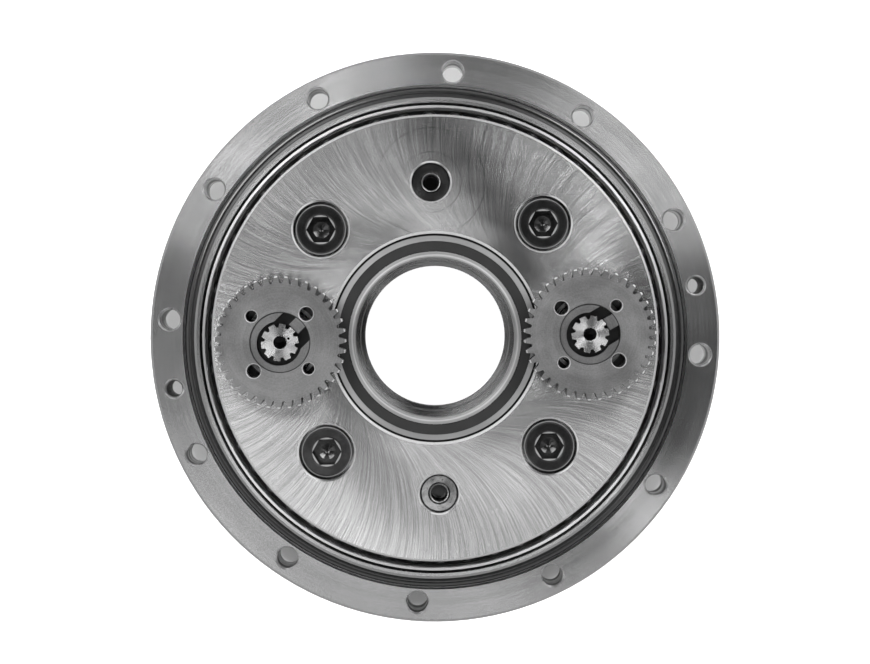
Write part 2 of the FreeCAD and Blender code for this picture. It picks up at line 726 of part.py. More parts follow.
def make_centre_bearing():
    """The sealed ball bearing in the hold flange that carries the hollow centre gear."""
    middle = (centre_low + centre_top) / 2
    pitch_r = (d.centre_bore_r + d.centre_seat_r) / 2
    shoulder_in = d.centre_bore_r + d.centre_wall
    shoulder_out = d.centre_seat_r - d.centre_wall
    edge = d.race_edge
    outer = turned_piece("centre_bearing_outer_ring", [
        (shoulder_out, centre_low),
        (d.centre_seat_r - edge, centre_low),
        (d.centre_seat_r, centre_low + edge),
        (d.centre_seat_r, centre_top - edge),
        (d.centre_seat_r - edge, centre_top),
        (shoulder_out, centre_top),
    ])
    inner = turned_piece("centre_bearing_inner_ring", [
        (d.centre_bore_r + edge, centre_low),
        (shoulder_in, centre_low),
        (shoulder_in, centre_top),
        (d.centre_bore_r + edge, centre_top),
        (d.centre_bore_r, centre_top - edge),
        (d.centre_bore_r, centre_low + edge),
    ])
    for ring in (outer, inner):
        raceway(ring, pitch_r, middle, d.centre_ball_r + d.ball_gap)
        keep(ring.Label, ring)
    make_ball_set("centre_bearing", d.centre_ball_count, pitch_r, middle, d.centre_ball_r,
                  d.centre_cage_wall, d.centre_cage_height)
    seals = []
    thick, lip = d.centre_seal_thick, shoulder_in + d.run_gap * 2
    for side, low in (
        ("lower", centre_low + d.centre_seal_inset),
        ("upper", centre_top - d.centre_seal_inset - thick),
    ):
        disc = cylinder(f"centre_{side}_seal_disc", shoulder_out, thick, z=low)
        hole = cylinder(f"centre_{side}_seal_hole", lip, thick, z=low)
        seals.append(cut(f"centre_{side}_seal", disc, hole))
    keep("centre_bearing_seals", group("centre_bearing_seals", seals))


def carrier_holes(body, screw_section, dowel_section):
    """The four screw holes and two dowel holes that line up through both carrier halves."""
    screw = drilled(body, body.Label + "_screw_hole", d.screw_circle_r, d.screw_turn, screw_section)
    repeated(body, screw, d.screw_count)
    dowel = drilled(body, body.Label + "_dowel_hole", d.dowel_circle_r, d.dowel_turn, dowel_section)
    repeated(body, dowel, d.dowel_count)


def pillars(body, low, top):
    """The two bent pillars that join the carrier's halves through the discs' windows."""
    sketch = flat_sketch(body, body.Label + "_pillar_section", low)
    arc_slot(sketch, d.pillar_mid_r, d.pillar_half, d.pillar_start)
    pad = body.newObject("PartDesign::Pad", body.Label + "_pillar")
    pad.Profile = sketch
    bind(pad, Length=top - low)
    repeated(body, pad, size(2))


def make_hold_flange():
    body = new_body("hold_flange")
    edge, bore_edge = d.rim_edge, d.centre_edge
    turned(body, "hold_flange_turned", [
        (d.hold_bore_r, hold_low),
        (d.main_journal_r, hold_low),
        (d.main_journal_r, upper_race_top),
        (d.rim_r, upper_race_top),
        (d.rim_r, hold_top - edge),
        (d.rim_r - edge, hold_top),
        (d.centre_seat_r + bore_edge, hold_top),
        (d.centre_seat_r, hold_top - bore_edge),
        (d.centre_seat_r, centre_low),
        (d.hold_bore_r, centre_low),
    ])
    pillars(body, split_z, hold_low)
    clip_low, clip_wide = crank_ceiling, d.crank_seat_r + d.circlip_depth
    seat = drilled(body, "hold_crank_bore", d.crank_centre_r, 0, [
        (0, hold_low),
        (d.crank_seat_r, hold_low),
        (d.crank_seat_r, clip_low),
        (clip_wide, clip_low),
        (clip_wide, clip_low + d.circlip_thick + d.fit_gap),
        (d.crank_seat_r, clip_low + d.circlip_thick + d.fit_gap),
        (d.crank_seat_r, hold_top),
        (0, hold_top),
    ])
    repeated(body, seat, size(2))
    clear_r = d.screw_r + d.fit_gap
    carrier_holes(body, [
        (0, split_z),
        (clear_r, split_z),
        (clear_r, screw_seat),
        (d.counterbore_r, screw_seat),
        (d.counterbore_r, hold_top - d.counterbore_edge),
        (d.counterbore_r + d.counterbore_edge, hold_top),
        (0, hold_top),
    ], [
        (0, split_z),
        (d.dowel_r + d.fit_gap, split_z),
        (d.dowel_r + d.fit_gap, hold_top - d.dowel_mouth_deep),
        (d.dowel_mouth_r, hold_top - d.dowel_mouth_deep),
        (d.dowel_mouth_r, hold_top - d.dowel_edge),
        (d.dowel_mouth_r + d.dowel_edge, hold_top),
        (0, hold_top),
    ])
    keep("hold_flange", body)


def make_output_shaft():
    body = new_body("output_shaft")
    edge = d.rim_edge
    tube_top = d.tube_seat_depth
    turned(body, "output_shaft_turned", [
        (d.tube_seat_r + edge, 0),
        (d.seal_journal_r - edge, 0),
        (d.seal_journal_r, edge),
        (d.seal_journal_r, lower_race_low),
        (d.main_journal_r, lower_race_low),
        (d.main_journal_r, plate_top),
        (d.shaft_bore_r, plate_top),
        (d.shaft_bore_r, tube_top),
        (d.tube_seat_r, tube_top),
        (d.tube_seat_r, edge),
    ])
    pillars(body, plate_top, split_z)
    seat = drilled(body, "shaft_crank_bore", d.crank_centre_r, 0, [
        (0, crank_floor), (d.crank_seat_r, crank_floor), (d.crank_seat_r, plate_top), (0, plate_top),
    ])
    repeated(body, seat, size(2))
    thread_r, thread_low = d.screw_r + d.fit_gap, screw_tip - d.screw_hole_spare
    dowel_r, dowel_floor = d.dowel_r + d.fit_gap, dowel_low - d.dowel_edge
    carrier_holes(body, [
        (0, thread_low), (thread_r, thread_low), (thread_r, split_z), (0, split_z),
    ], [
        (0, dowel_floor), (dowel_r, dowel_floor), (dowel_r, split_z), (0, split_z),
    ])
    tapped = drilled(body, "output_hole", d.output_circle_r, d.output_turn_angle, blind_hole(
        d.output_hole_r, d.output_hole_deep, size(0), d.output_hole_edge))
    repeated(body, tapped, d.output_hole_count)
    keep("output_shaft", body)


def make_carrier_screws():
    """Socket head cap screws, each with a chamfered head, a hexagon and its countersink."""
    screws = []
    head_top = screw_seat + d.screw_head_high
    edge, sink = d.screw_head_edge, d.screw_sink_deep
    floor = head_top - d.screw_socket_deep
    corner_r = d.screw_socket.value / math.sqrt(3)
    hexagon = Part.makePolygon([
        Vector(corner_r * math.cos(math.radians(a)), corner_r * math.sin(math.radians(a)), 0)
        for a in range(0, 361, 60)
    ])
    for angle in round_the_axis(d.screw_count, d.screw_turn):
        x, y = d.screw_circle_r * cosine(angle), d.screw_circle_r * sine(angle)
        shank = cylinder("screw_shank", d.screw_r, d.screw_length, x, y, screw_tip)
        head = cylinder("screw_head", d.screw_head_r, d.screw_head_high - edge, x, y, screw_seat)
        crown = cone("screw_crown", d.screw_head_r, d.screw_head_r - edge, edge, x, y, head_top - edge)
        blank = joined("screw_blank", shank, head, crown)
        socket = joined(
            "screw_socket",
            prism("screw_hexagon", hexagon, d.screw_socket_deep, x, y, floor),
            cone("screw_sink", d.screw_sink_r - sink, d.screw_sink_r, sink, x, y, head_top - sink),
            cone("screw_drill", 0, d.screw_drill_r, d.screw_drill_deep, x, y,
                 floor - d.screw_drill_deep),
        )
        screws.append(cut("carrier_screw", blank, socket))
    keep("carrier_screws", group("carrier_screws", screws))


def make_dowel_pins():
    """Hollow-ended dowels with a tapped hole for a puller."""
    dowels = []
    edge = d.dowel_edge
    for angle in round_the_axis(d.dowel_count, d.dowel_turn):
        x, y = d.dowel_circle_r * cosine(angle), d.dowel_circle_r * sine(angle)
        foot = cone("dowel_foot", d.dowel_r - edge, d.dowel_r, edge, x, y, dowel_low)
        stem = cylinder("dowel_stem", d.dowel_r, d.dowel_length - edge * 2, x, y, dowel_low + edge)
        crown = cone("dowel_crown", d.dowel_r, d.dowel_r - edge, edge, x, y, dowel_top - edge)
        blank = joined("dowel_blank", foot, stem, crown)
        tap = cylinder("dowel_tap", d.dowel_tap_r, d.dowel_tap_deep, x, y,
                       dowel_top - d.dowel_tap_deep)
        mouth = cone("dowel_mouth", d.dowel_tap_r, d.dowel_tap_r + edge, edge, x, y, dowel_top - edge)
        dowels.append(cut("dowel_pin", blank, joined("dowel_hole", tap, mouth)))
    keep("dowel_pins", group("dowel_pins", dowels))


def crank_height(level, depth):
    """Height at a depth from a crank bearing's back face, measured towards the discs."""
    return crank_floor + depth if level == "lower" else crank_ceiling - depth


def make_crank_bearing(side, level):
    """A taper roller bearing: cup, cone, rollers and cage, with the thrust towards its back."""
    centre_x = d.crank_centre_r * SIDES[side]
    name = f"crank_bearing_{side}_{level}"
    tilt, taper = d.roller_tilt, d.roller_taper
    half_gap = d.roller_r / cosine(tilt) + d.roll_gap

    def height(depth):
        return crank_height(level, size(depth))

    def cup_r(depth):
        return d.roller_pitch_r + half_gap + (size(depth) - d.roller_mid) * tangent(tilt + taper)

    def cone_r(depth):
        return d.roller_pitch_r - half_gap + (size(depth) - d.roller_mid) * tangent(tilt - taper)

    def pitch_r(depth):
        return d.roller_pitch_r + (size(depth) - d.roller_mid) * tangent(tilt)

    keep(name + "_cup", turned_piece(name + "_cup", [
        (cup_r(0), height(0)), (d.crank_seat_r, height(0)),
        (d.crank_seat_r, height(d.cup_width)), (cup_r(d.cup_width), height(d.cup_width)),
    ], centre_x))
    half_run = d.roller_length / 2 * cosine(tilt) + d.roller_r * sine(tilt) + d.cage_gap
    foot = d.crank_bearing_width - d.cone_width
    start, finish = d.roller_mid - half_run, d.roller_mid + half_run
    keep(name + "_cone", turned_piece(name + "_cone", [
        (d.crank_journal_r, height(foot)), (d.cone_foot_r, height(foot)), (d.cone_foot_r, height(start)),
        (cone_r(start), height(start)), (cone_r(finish), height(finish)),
        (d.cone_rib_r, height(finish)), (d.cone_rib_r, height(d.crank_bearing_width)),
        (d.crank_journal_r, height(d.crank_bearing_width)),
    ], centre_x))
    cage_half = d.roller_length / 2 * cosine(tilt) + d.cage_end
    low, high, wall = d.roller_mid - cage_half, d.roller_mid + cage_half, d.cage_wall / 2
    blank = turned_piece(name + "_cage_blank", [
        (pitch_r(low) - wall, height(low)), (pitch_r(low) + wall, height(low)),
        (pitch_r(high) + wall, height(high)), (pitch_r(high) - wall, height(high)),
    ], centre_x)
    rollers = make_rollers(name + "_roller", centre_x, level, size(0))
    keep(name + "_rollers", group(name + "_rollers", rollers))
    windows = make_rollers(name + "_window", centre_x, level, d.cage_gap)
    keep(name + "_cage", cut(name + "_cage", blank, group(name + "_windows", windows)))


def make_rollers(name, centre_x, level, grown):
    """The tilted taper rollers of a crank bearing, or those grown by a clearance."""
    length = d.roller_length + grown * 2
    slope = length / 2 * tangent(d.roller_taper)
    slim, thick = d.roller_r + grown - slope, d.roller_r + grown + slope
    start = -(length / 2)
    base_r = d.roller_pitch_r + start * sine(d.roller_tilt)
    base_depth = d.roller_mid + start * cosine(d.roller_tilt)
    rise = 1 if level == "lower" else -1
    rollers = []
    for angle in round_the_axis(d.roller_count):
        lean = math.radians(d.roller_tilt.value)
        out = Vector(math.sin(lean) * cosine(angle).value, math.sin(lean) * sine(angle).value,
                     rise * math.cos(lean))
        rollers.append(cone(name, slim, thick, length, centre_x + base_r * cosine(angle),
                            base_r * sine(angle), crank_height(level, base_depth),
                            Rotation(Vector(0, 0, 1), out)))
    return rollers


def lobe_centre(side, level):
    """Axis of the eccentric that carries a disc, and the disc's own offset."""
    sign = 1 if level == "lower" else -1
    shift_x = d.eccentricity * cosine(d.crank_phase) * sign
    shift_y = d.eccentricity * sine(d.crank_phase) * sign
    centre_x = d.crank_centre_r * SIDES[side] if side else size(0)
    return centre_x + shift_x, shift_y


def disc_low(level):
    return lower_disc_low if level == "lower" else upper_disc_low


def make_needle_bearing(side, level):
    """The caged needles between an eccentric and its disc."""
    centre_x, centre_y = lobe_centre(side, level)
    name = f"needle_bearing_{side}_{level}"
    pitch_r = d.crank_lobe_r + d.needle_space / 2
    needle_r = d.needle_space / 2 - d.roll_gap
    middle = disc_low(level) + d.disc_thick / 2

    def needles(label, grown):
        length = d.needle_length + grown * 2
        return [
            cylinder(label, needle_r + grown, length, centre_x + pitch_r * cosine(a),
                     centre_y + pitch_r * sine(a), middle - length / 2)
            for a in round_the_axis(d.needle_count)
        ]

    keep(name + "_needles", group(name + "_needles", needles(name + "_needle", size(0))))
    height = d.needle_length + d.cage_end * 2
    ring = cylinder(name + "_cage_ring", pitch_r + d.cage_wall / 2, height, centre_x, centre_y,
                    middle - height / 2)
    bore = cylinder(name + "_cage_bore", pitch_r - d.cage_wall / 2, height, centre_x, centre_y,
                    middle - height / 2)
    blank = cut(name + "_cage_blank", ring, bore)
    windows = group(name + "_windows", needles(name + "_window", d.cage_gap))
    keep(name + "_cage", cut(name + "_cage", blank, windows))


def spline_outline(grown, turn):
    """The splined section of a crank's end, or the same grown for the gear's bore."""
    count = int(d.spline_count.value)
    tip_r, root_r = d.spline_tip_r.value + grown, d.spline_root_r.value + grown
    tip_half = math.degrees((d.spline_tip_width.value / 2 + grown) / tip_r)
    gap_half = math.degrees((d.spline_gap_width.value / 2 - grown) / root_r)
    step = 360 / count
    corners = []
    for k in range(count):
        middle = turn.value + k * step
        for radius, angle in (
            (tip_r, middle - tip_half),
            (tip_r, middle + tip_half),
            (root_r, middle + step / 2 - gap_half),
            (root_r, middle + step / 2 + gap_half),
        ):
            bearing = math.radians(angle)
            corners.append(Vector(radius * math.cos(bearing), radius * math.sin(bearing), 0))
    return Part.makePolygon(corners + corners[:1])


def make_crankshaft(side):
    """One crank: two journals, two opposed eccentrics, and the splined end for its gear."""
    x = d.crank_centre_r * SIDES[side]
    turn = d.spline_turn_left if side == "left" else d.spline_turn_right
    foot = crank_floor + d.crank_foot_gap
    neck_low = crank_ceiling
    parts = [
        cylinder("lower_journal", d.crank_journal_r, lobe_low - foot, x, 0, foot),
        cylinder("upper_journal", d.crank_journal_r, neck_low - lobe_top, x, 0, lobe_top),
        cylinder("gear_neck", d.crank_neck_r, gear_low - neck_low, x, 0, neck_low),
        prism("spline_end", spline_outline(0, turn), crank_top - gear_low, x, 0, gear_low),
    ]
    for level, low, top in (("lower", lobe_low, mid_z), ("upper", mid_z, lobe_top)):
        lobe_x, lobe_y = lobe_centre(side, level)
        parts.append(cylinder(f"{level}_eccentric", d.crank_lobe_r, top - low, lobe_x, lobe_y, low))
    blank = joined(f"crankshaft_{side}_blank", *parts)
    drill = cylinder("centre_drill", d.crank_drill_r, d.crank_drill_depth, x, 0,
                     crank_top - d.crank_drill_depth)
    point = cone("centre_point", 0, d.crank_drill_r, d.crank_drill_r / 2, x, 0,
                 crank_top - d.crank_drill_depth - d.crank_drill_r / 2)
    edge = d.crank_drill_edge
    mouth = cone("centre_mouth", d.crank_drill_r, d.crank_drill_r + edge, edge, x, 0,
                 crank_top - edge)
    hole = joined("centre_hole", drill, point, mouth)
    keep(f"crankshaft_{side}", cut(f"crankshaft_{side}", blank, hole))


def clip_opening(name, side, grown, low, height):
    """The round well and straight mouth that the clip surrounds."""
    x = d.crank_centre_r * SIDES[side]
    way = d.clip_turn_left if side == "left" else d.clip_turn_right
    turn = Rotation(Vector(0, 0, 1), way.value)
    back_x, back_y = x - d.gear_well_shift * cosine(way), -(d.gear_well_shift * sine(way))
    well = cylinder(name + "_well", d.gear_well_r + grown, height, back_x, back_y, low)
    half = d.gear_well_half + grown
    corner_x, corner_y = x + half * sine(way), -(half * cosine(way))
    mouth = box(name + "_mouth", d.gear_recess_r * 2, half * 2, height, corner_x, corner_y, low,
                turn)
    limit = cylinder(name + "_limit", d.gear_recess_r, height, x, 0, low)
    return joined(name + "_opening", well, shared(name + "_slot", mouth, limit))


def gear_tongue(name, side, grown, low, height):
    """The tongue of gear metal that stands in the clip's opening."""
    x = d.crank_centre_r * SIDES[side]
    way = d.clip_turn_left if side == "left" else d.clip_turn_right
    turn = Rotation(Vector(0, 0, 1), way.value)
    half = d.gear_key_width / 2 + grown
    start = d.spline_tip_r + d.run_gap
    corner_x = x + start * cosine(way) + half * sine(way)
    corner_y = start * sine(way) - half * cosine(way)
    return box(name + "_tongue", d.gear_recess_r, half * 2, height, corner_x, corner_y, low, turn)


def make_spur_gear(side):
    """An input spur gear with its web holes, its splined bore and the recess for the clip."""
    x = d.crank_centre_r * SIDES[side]
    phase = d.gear_phase_left if side == "left" else d.gear_phase_right
    turn = d.spline_turn_left if side == "left" else d.spline_turn_right
    builder = fcgear.FCWireBuilder()
    teeth_count = int(d.gear_teeth.value)
    involute.CreateExternalGear(builder, d.gear_module.value, teeth_count, 20.0, split=False)
    teeth = Part.Wire([piece.toShape() for piece in builder.wire])
    teeth.rotate(Vector(), Vector(0, 0, 1), phase.value)
    name = f"spur_gear_{side}"
    tip, rim = d.gear_module * (d.gear_teeth / 2 + 1) + d.run_gap, d.gear_edge + d.run_gap
    toothed = prism(name + "_teeth", teeth, d.gear_thick, x, 0, gear_low)
    disc = joined(
        name + "_disc",
        cone(name + "_low_edge", tip - rim, tip, rim, x, 0, gear_low),
        cylinder(name + "_rim", tip, d.gear_thick - rim * 2, x, 0, gear_low + rim),
        cone(name + "_top_edge", tip, tip - rim, rim, x, 0, gear_top - rim),
    )
    blank = shared(name + "_blank", toothed, disc)
    well_low = gear_top - d.gear_well_deep
    recess_low = gear_top - d.gear_recess_deep
    recess = cylinder(name + "_recess", d.gear_recess_r, d.gear_recess_deep, x, 0, recess_low)
    opening = clip_opening(name, side, 0, well_low, d.gear_well_deep)
    hollow = joined(name + "_hollow", recess, opening)
    face_cut = cut(name + "_face_cut", hollow, gear_tongue(name, side, 0, well_low, d.gear_well_deep))
    bore = prism(name + "_bore", spline_outline(d.fit_gap.value, turn), d.gear_thick, x, 0, gear_low)
    tools = [face_cut, bore]
    first = d.web_turn if side == "left" else d.web_turn + 360 / d.web_count
    edge = d.gear_hole_edge
    for k, angle in enumerate(round_the_axis(d.web_count, first)):
        radius = d.gear_hole_big_r if k % 2 == 0 else d.gear_hole_small_r
        hole_x, hole_y = x + d.gear_hole_r * cosine(angle), d.gear_hole_r * sine(angle)
        tools.append(cylinder(name + "_web_hole", radius, d.gear_thick, hole_x, hole_y, gear_low))
        tools.append(cone(name + "_web_edge", radius, radius + edge, edge, hole_x, hole_y,
                          gear_top - edge))
    keep(name, cut(name, blank, joined(name + "_cuts", *tools)))


def make_gear_clip(side):
    """The open retaining clip in the gear's recess."""
    x = d.crank_centre_r * SIDES[side]
    name = f"gear_clip_{side}"
    low = gear_top - d.gear_recess_deep
    disc = cylinder(name + "_disc", d.gear_recess_r - d.clip_rim_gap, d.clip_thick, x, 0, low)
    opening = clip_opening(name, side, 0, low, d.clip_thick)
    keep(name, cut(name, disc, opening))


def make_crank_circlip(side):
    """The internal circlip that holds the upper crank bearing's cup in the hold flange."""
    x = d.crank_centre_r * SIDES[side]
    name = f"crank_bore_circlip_{side}"
    rim = d.crank_seat_r + d.circlip_depth - d.fit_gap
    disc = cylinder(name + "_disc", rim, d.circlip_thick, x, 0, crank_ceiling)
    hole = cylinder(name + "_hole", rim - d.circlip_width, d.circlip_thick, x, 0, crank_ceiling)
    opening = box(name + "_gap", rim * 2, d.circlip_open, d.circlip_thick, x,
                  -(d.circlip_open / 2), crank_ceiling)
    keep(name, cut(name, disc, joined(name + "_open", hole, opening)))


def lobed_edge(turn):
    """The edge of a cycloidal disc about its own centre, one smooth curve for each lobe.

    A ring pin's centre, seen from the disc, runs along an epitrochoid. The disc's edge is that
    path moved inwards by the pin's radius and its clearance.
    """
    pins = int(d.pin_count.value)
    lobes = pins - 1
    circle_r, offset = d.pin_circle_r.value, d.eccentricity.value
    inset = d.pin_r.value + d.lobe_gap.value
    steps = 14

    def along(t):
        x = circle_r * math.cos(t) - offset * math.cos(pins * t)
        y = circle_r * math.sin(t) - offset * math.sin(pins * t)
        way = Vector(-circle_r * math.sin(t) + offset * pins * math.sin(pins * t),
                     circle_r * math.cos(t) - offset * pins * math.cos(pins * t), 0)
        way.normalize()
        return Vector(x - inset * way.y, y + inset * way.x, 0), way

    span = 2 * math.pi / lobes
    run = [along(span * k / steps) for k in range(steps + 1)]
    curve = Part.BSplineCurve()
    curve.interpolate(Points=[point for point, way in run],
                      InitialTangent=run[0][1], FinalTangent=run[-1][1])
    edges = []
    for k in range(lobes):
        lobe = curve.toShape()
        lobe.rotate(Vector(), Vector(0, 0, 1), turn + 360 * k / lobes)
        edges.append(lobe)
    return Part.Wire(edges)


def bent_slot(mid_r, half, start):
    """A closed slot bent round the main axis, symmetric about the Y axis."""
    low, high = math.radians(start), math.radians(180 - start)

    def at(radius, angle):
        return Vector(radius * math.cos(angle), radius * math.sin(angle), 0)

    def end_cap(angle, push):
        middle = at(mid_r, angle)
        return middle + at(half, angle + push)

    outer, inner = mid_r + half, mid_r - half
    middle = math.pi / 2
    edges = [
        Part.Arc(at(outer, low), at(outer, middle), at(outer, high)).toShape(),
        Part.Arc(at(outer, high), end_cap(high, middle), at(inner, high)).toShape(),
        Part.Arc(at(inner, high), at(inner, middle), at(inner, low)).toShape(),
        Part.Arc(at(inner, low), end_cap(low, -middle), at(outer, low)).toShape(),
    ]
    return Part.Wire(edges)


def make_cycloid_disc(level):
    """A disc with its lobed edge, two crank bores, two pillar windows and the centre hole."""
    centre_x, centre_y = lobe_centre(None, level)
    way = d.crank_phase.value + (0 if level == "lower" else 180)
    turn = d.case_turn.value - (way - d.case_turn.value) / (d.pin_count.value - 1)
    edge = lobed_edge(turn)
    room = d.eccentricity.value + d.window_gap.value
    up = Vector(0, 0, 1)
    window = bent_slot(d.pillar_mid_r.value, d.pillar_half.value + room, d.pillar_start.value)
    other = window.copy()
    other.rotate(Vector(), up, 180)
    holes = [window, other, Part.Wire(Part.makeCircle(d.disc_bore_r.value))]
    for side in SIDES.values():
        centre = Vector(side * d.crank_centre_r.value, 0, 0)
        holes.append(Part.Wire(Part.makeCircle(disc_hole_r.value, centre, up)))
    blank = Part.Face(edge).extrude(Vector(0, 0, d.disc_thick.value))
    cores = [Part.Face(hole).extrude(Vector(0, 0, d.disc_thick.value)) for hole in holes]
    disc = doc.addObject("Part::Feature", f"cycloid_disc_{level}")
    disc.Shape = blank.cut(cores)
    place(disc, centre_x, centre_y, disc_low(level))
    keep(f"cycloid_disc_{level}", disc)


make_case()
make_case_oring()
make_ring_pins()
make_output_seal()
make_hold_flange()
make_output_shaft()
make_carrier_screws()
make_dowel_pins()
make_main_bearing("lower")
make_main_bearing("upper")
make_centre_bearing()
for level in ("lower", "upper"):
    make_cycloid_disc(level)
for side in SIDES:
    make_crankshaft(side)
    make_spur_gear(side)
    make_gear_clip(side)
    make_crank_circlip(side)
    for level in ("lower", "upper"):
        make_crank_bearing(side, level)
        make_needle_bearing(side, level)
doc.recompute()

# Nothing is written unless every object and every piece is sound
for thing in doc.Objects:
    broken = [state for state in thing.State if state in ("Invalid", "Error")]
    if broken:
        raise RuntimeError(f"{thing.Label} failed: {broken}")
for label, thing in nodes:
    if thing.Shape.isNull() or not thing.Shape.isValid() or not thing.Shape.Solids:
        raise RuntimeError(f"{label} has no sound solid")

os.makedirs("parts", exist_ok=True)
for label, thing in nodes:
    thing.Shape.exportStep(f"parts/{label}.step")
print(len(nodes), "pieces,", sum(len(thing.Shape.Solids) for label, thing in nodes), "solids")
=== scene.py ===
import math

import bmesh
import bpy
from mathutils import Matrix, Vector


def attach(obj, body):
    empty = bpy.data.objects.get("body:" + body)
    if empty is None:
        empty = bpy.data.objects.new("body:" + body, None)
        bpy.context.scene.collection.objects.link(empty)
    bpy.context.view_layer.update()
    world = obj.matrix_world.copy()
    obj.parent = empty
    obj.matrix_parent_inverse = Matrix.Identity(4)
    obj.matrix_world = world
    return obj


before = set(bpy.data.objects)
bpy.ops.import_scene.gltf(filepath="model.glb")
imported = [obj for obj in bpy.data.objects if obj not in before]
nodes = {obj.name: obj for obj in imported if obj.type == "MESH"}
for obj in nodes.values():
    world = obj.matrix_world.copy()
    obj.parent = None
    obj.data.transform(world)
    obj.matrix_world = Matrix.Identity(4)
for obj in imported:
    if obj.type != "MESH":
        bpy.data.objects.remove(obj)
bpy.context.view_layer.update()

# All lengths are in metres. Heights over the ground:
HOLD_TOP = 0.061
GEAR_TOP = 0.071
CRANK_TOP = 0.072
SOCKET_FLOOR = 0.0535
SOCKET_LEDGE = 0.0594
SCREW_EDGE = 0.0585
DOWEL_EDGE = 0.050
GROOVE_HEIGHT = 0.0370
SPLINE_FOOT = 0.060
# Between these the races go from their bright top to painted shade down their gap, and to the lower
# bearing
RACE_GAP = (0.0535, 0.0565)
LOWER_BEARING = (0.030, 0.040)

# How far these lie from the main axis. The cranks lie on X and the dowels on Y.
CRANKS = {"left": -0.048, "right": 0.048}
DOWEL_REACH = 0.0489
BOLT_CIRCLE = 0.08535
RIM_EDGE = 0.0900
GROOVE_RADIUS = 0.0778
SPIGOT_EDGE = 0.0755
HOLD_EDGE = 0.0680

# Where two rings meet, a painted line of shade in the gap: the main bearing in the case, the centre
# bearing in its bore
MAIN_SEAT = 0.0735
CENTRE_SEAT = 0.0325

# Radii about a dowel's and about a crank's axis
PULLER_HOLE = 0.0030
TOOTH_ROOT = 0.0170
GEAR_RECESS = 0.0093
SPLINE_ROOT = 0.0043
CENTRE_DRILL = 0.0019
PUNCH_REACH = 0.003

# Grinding arcs of the hold flange: their radius, how far their centres lie from the axis, and
# the radii between which the direction of their gloss is blended
ARC_RADIUS = 0.055
ARC_REACH = 0.085
ARC_STEPS = (0.0660, 0.0570, 0.0490, 0.0420, 0.0365)

# A quarter turn: gloss that is long across rings round the axis
ACROSS_RINGS = 0.25
# How strongly fine lines stretch the gloss of turned and ground steel
LINED = 0.958
# Roughness of bare steel on upright walls
WALL_GLOSS = 0.34
# Near-white: painted highlight on chamfers, and worn dots on the hold flange
EDGE_HIGHLIGHT_AND_WEAR_WHITE = (0.95, 0.95, 0.955)
WHITE = (1.0, 1.0, 1.0, 1.0)


class Value:
    """A shader socket that Python's operators can work on."""

    def __init__(self, tree, socket):
        self.tree = tree
        self.socket = socket

    def math(self, operation, *others):
        inputs = dict(enumerate((self,) + others))
        return self.tree.node("ShaderNodeMath", {"operation": operation}, inputs)

    def __add__(self, other):
        return self.math("ADD", other)

    def __sub__(self, other):
        return self.math("SUBTRACT", other)

    def __mul__(self, other):
        return self.math("MULTIPLY", other)

    def __truediv__(self, other):
        return self.math("DIVIDE", other)

    def __rsub__(self, other):
        return self * -1 + other

    __radd__ = __add__
    __rmul__ = __mul__

    def ramp(self, low, high, start=0.0, end=1.0):
        """Goes smoothly from start to end while the value goes from low to high."""
        inputs = {"Value": self, "From Min": low, "From Max": high, "To Min": start, "To Max": end}
        return self.tree.node("ShaderNodeMapRange", {"interpolation_type": "SMOOTHSTEP"}, inputs)

    def near(self, middle, reach, soft):
        """1 within reach of the middle, and 0 past its soft edge."""
        return (self - middle).math("ABSOLUTE").ramp(reach, reach + soft, 1.0, 0.0)


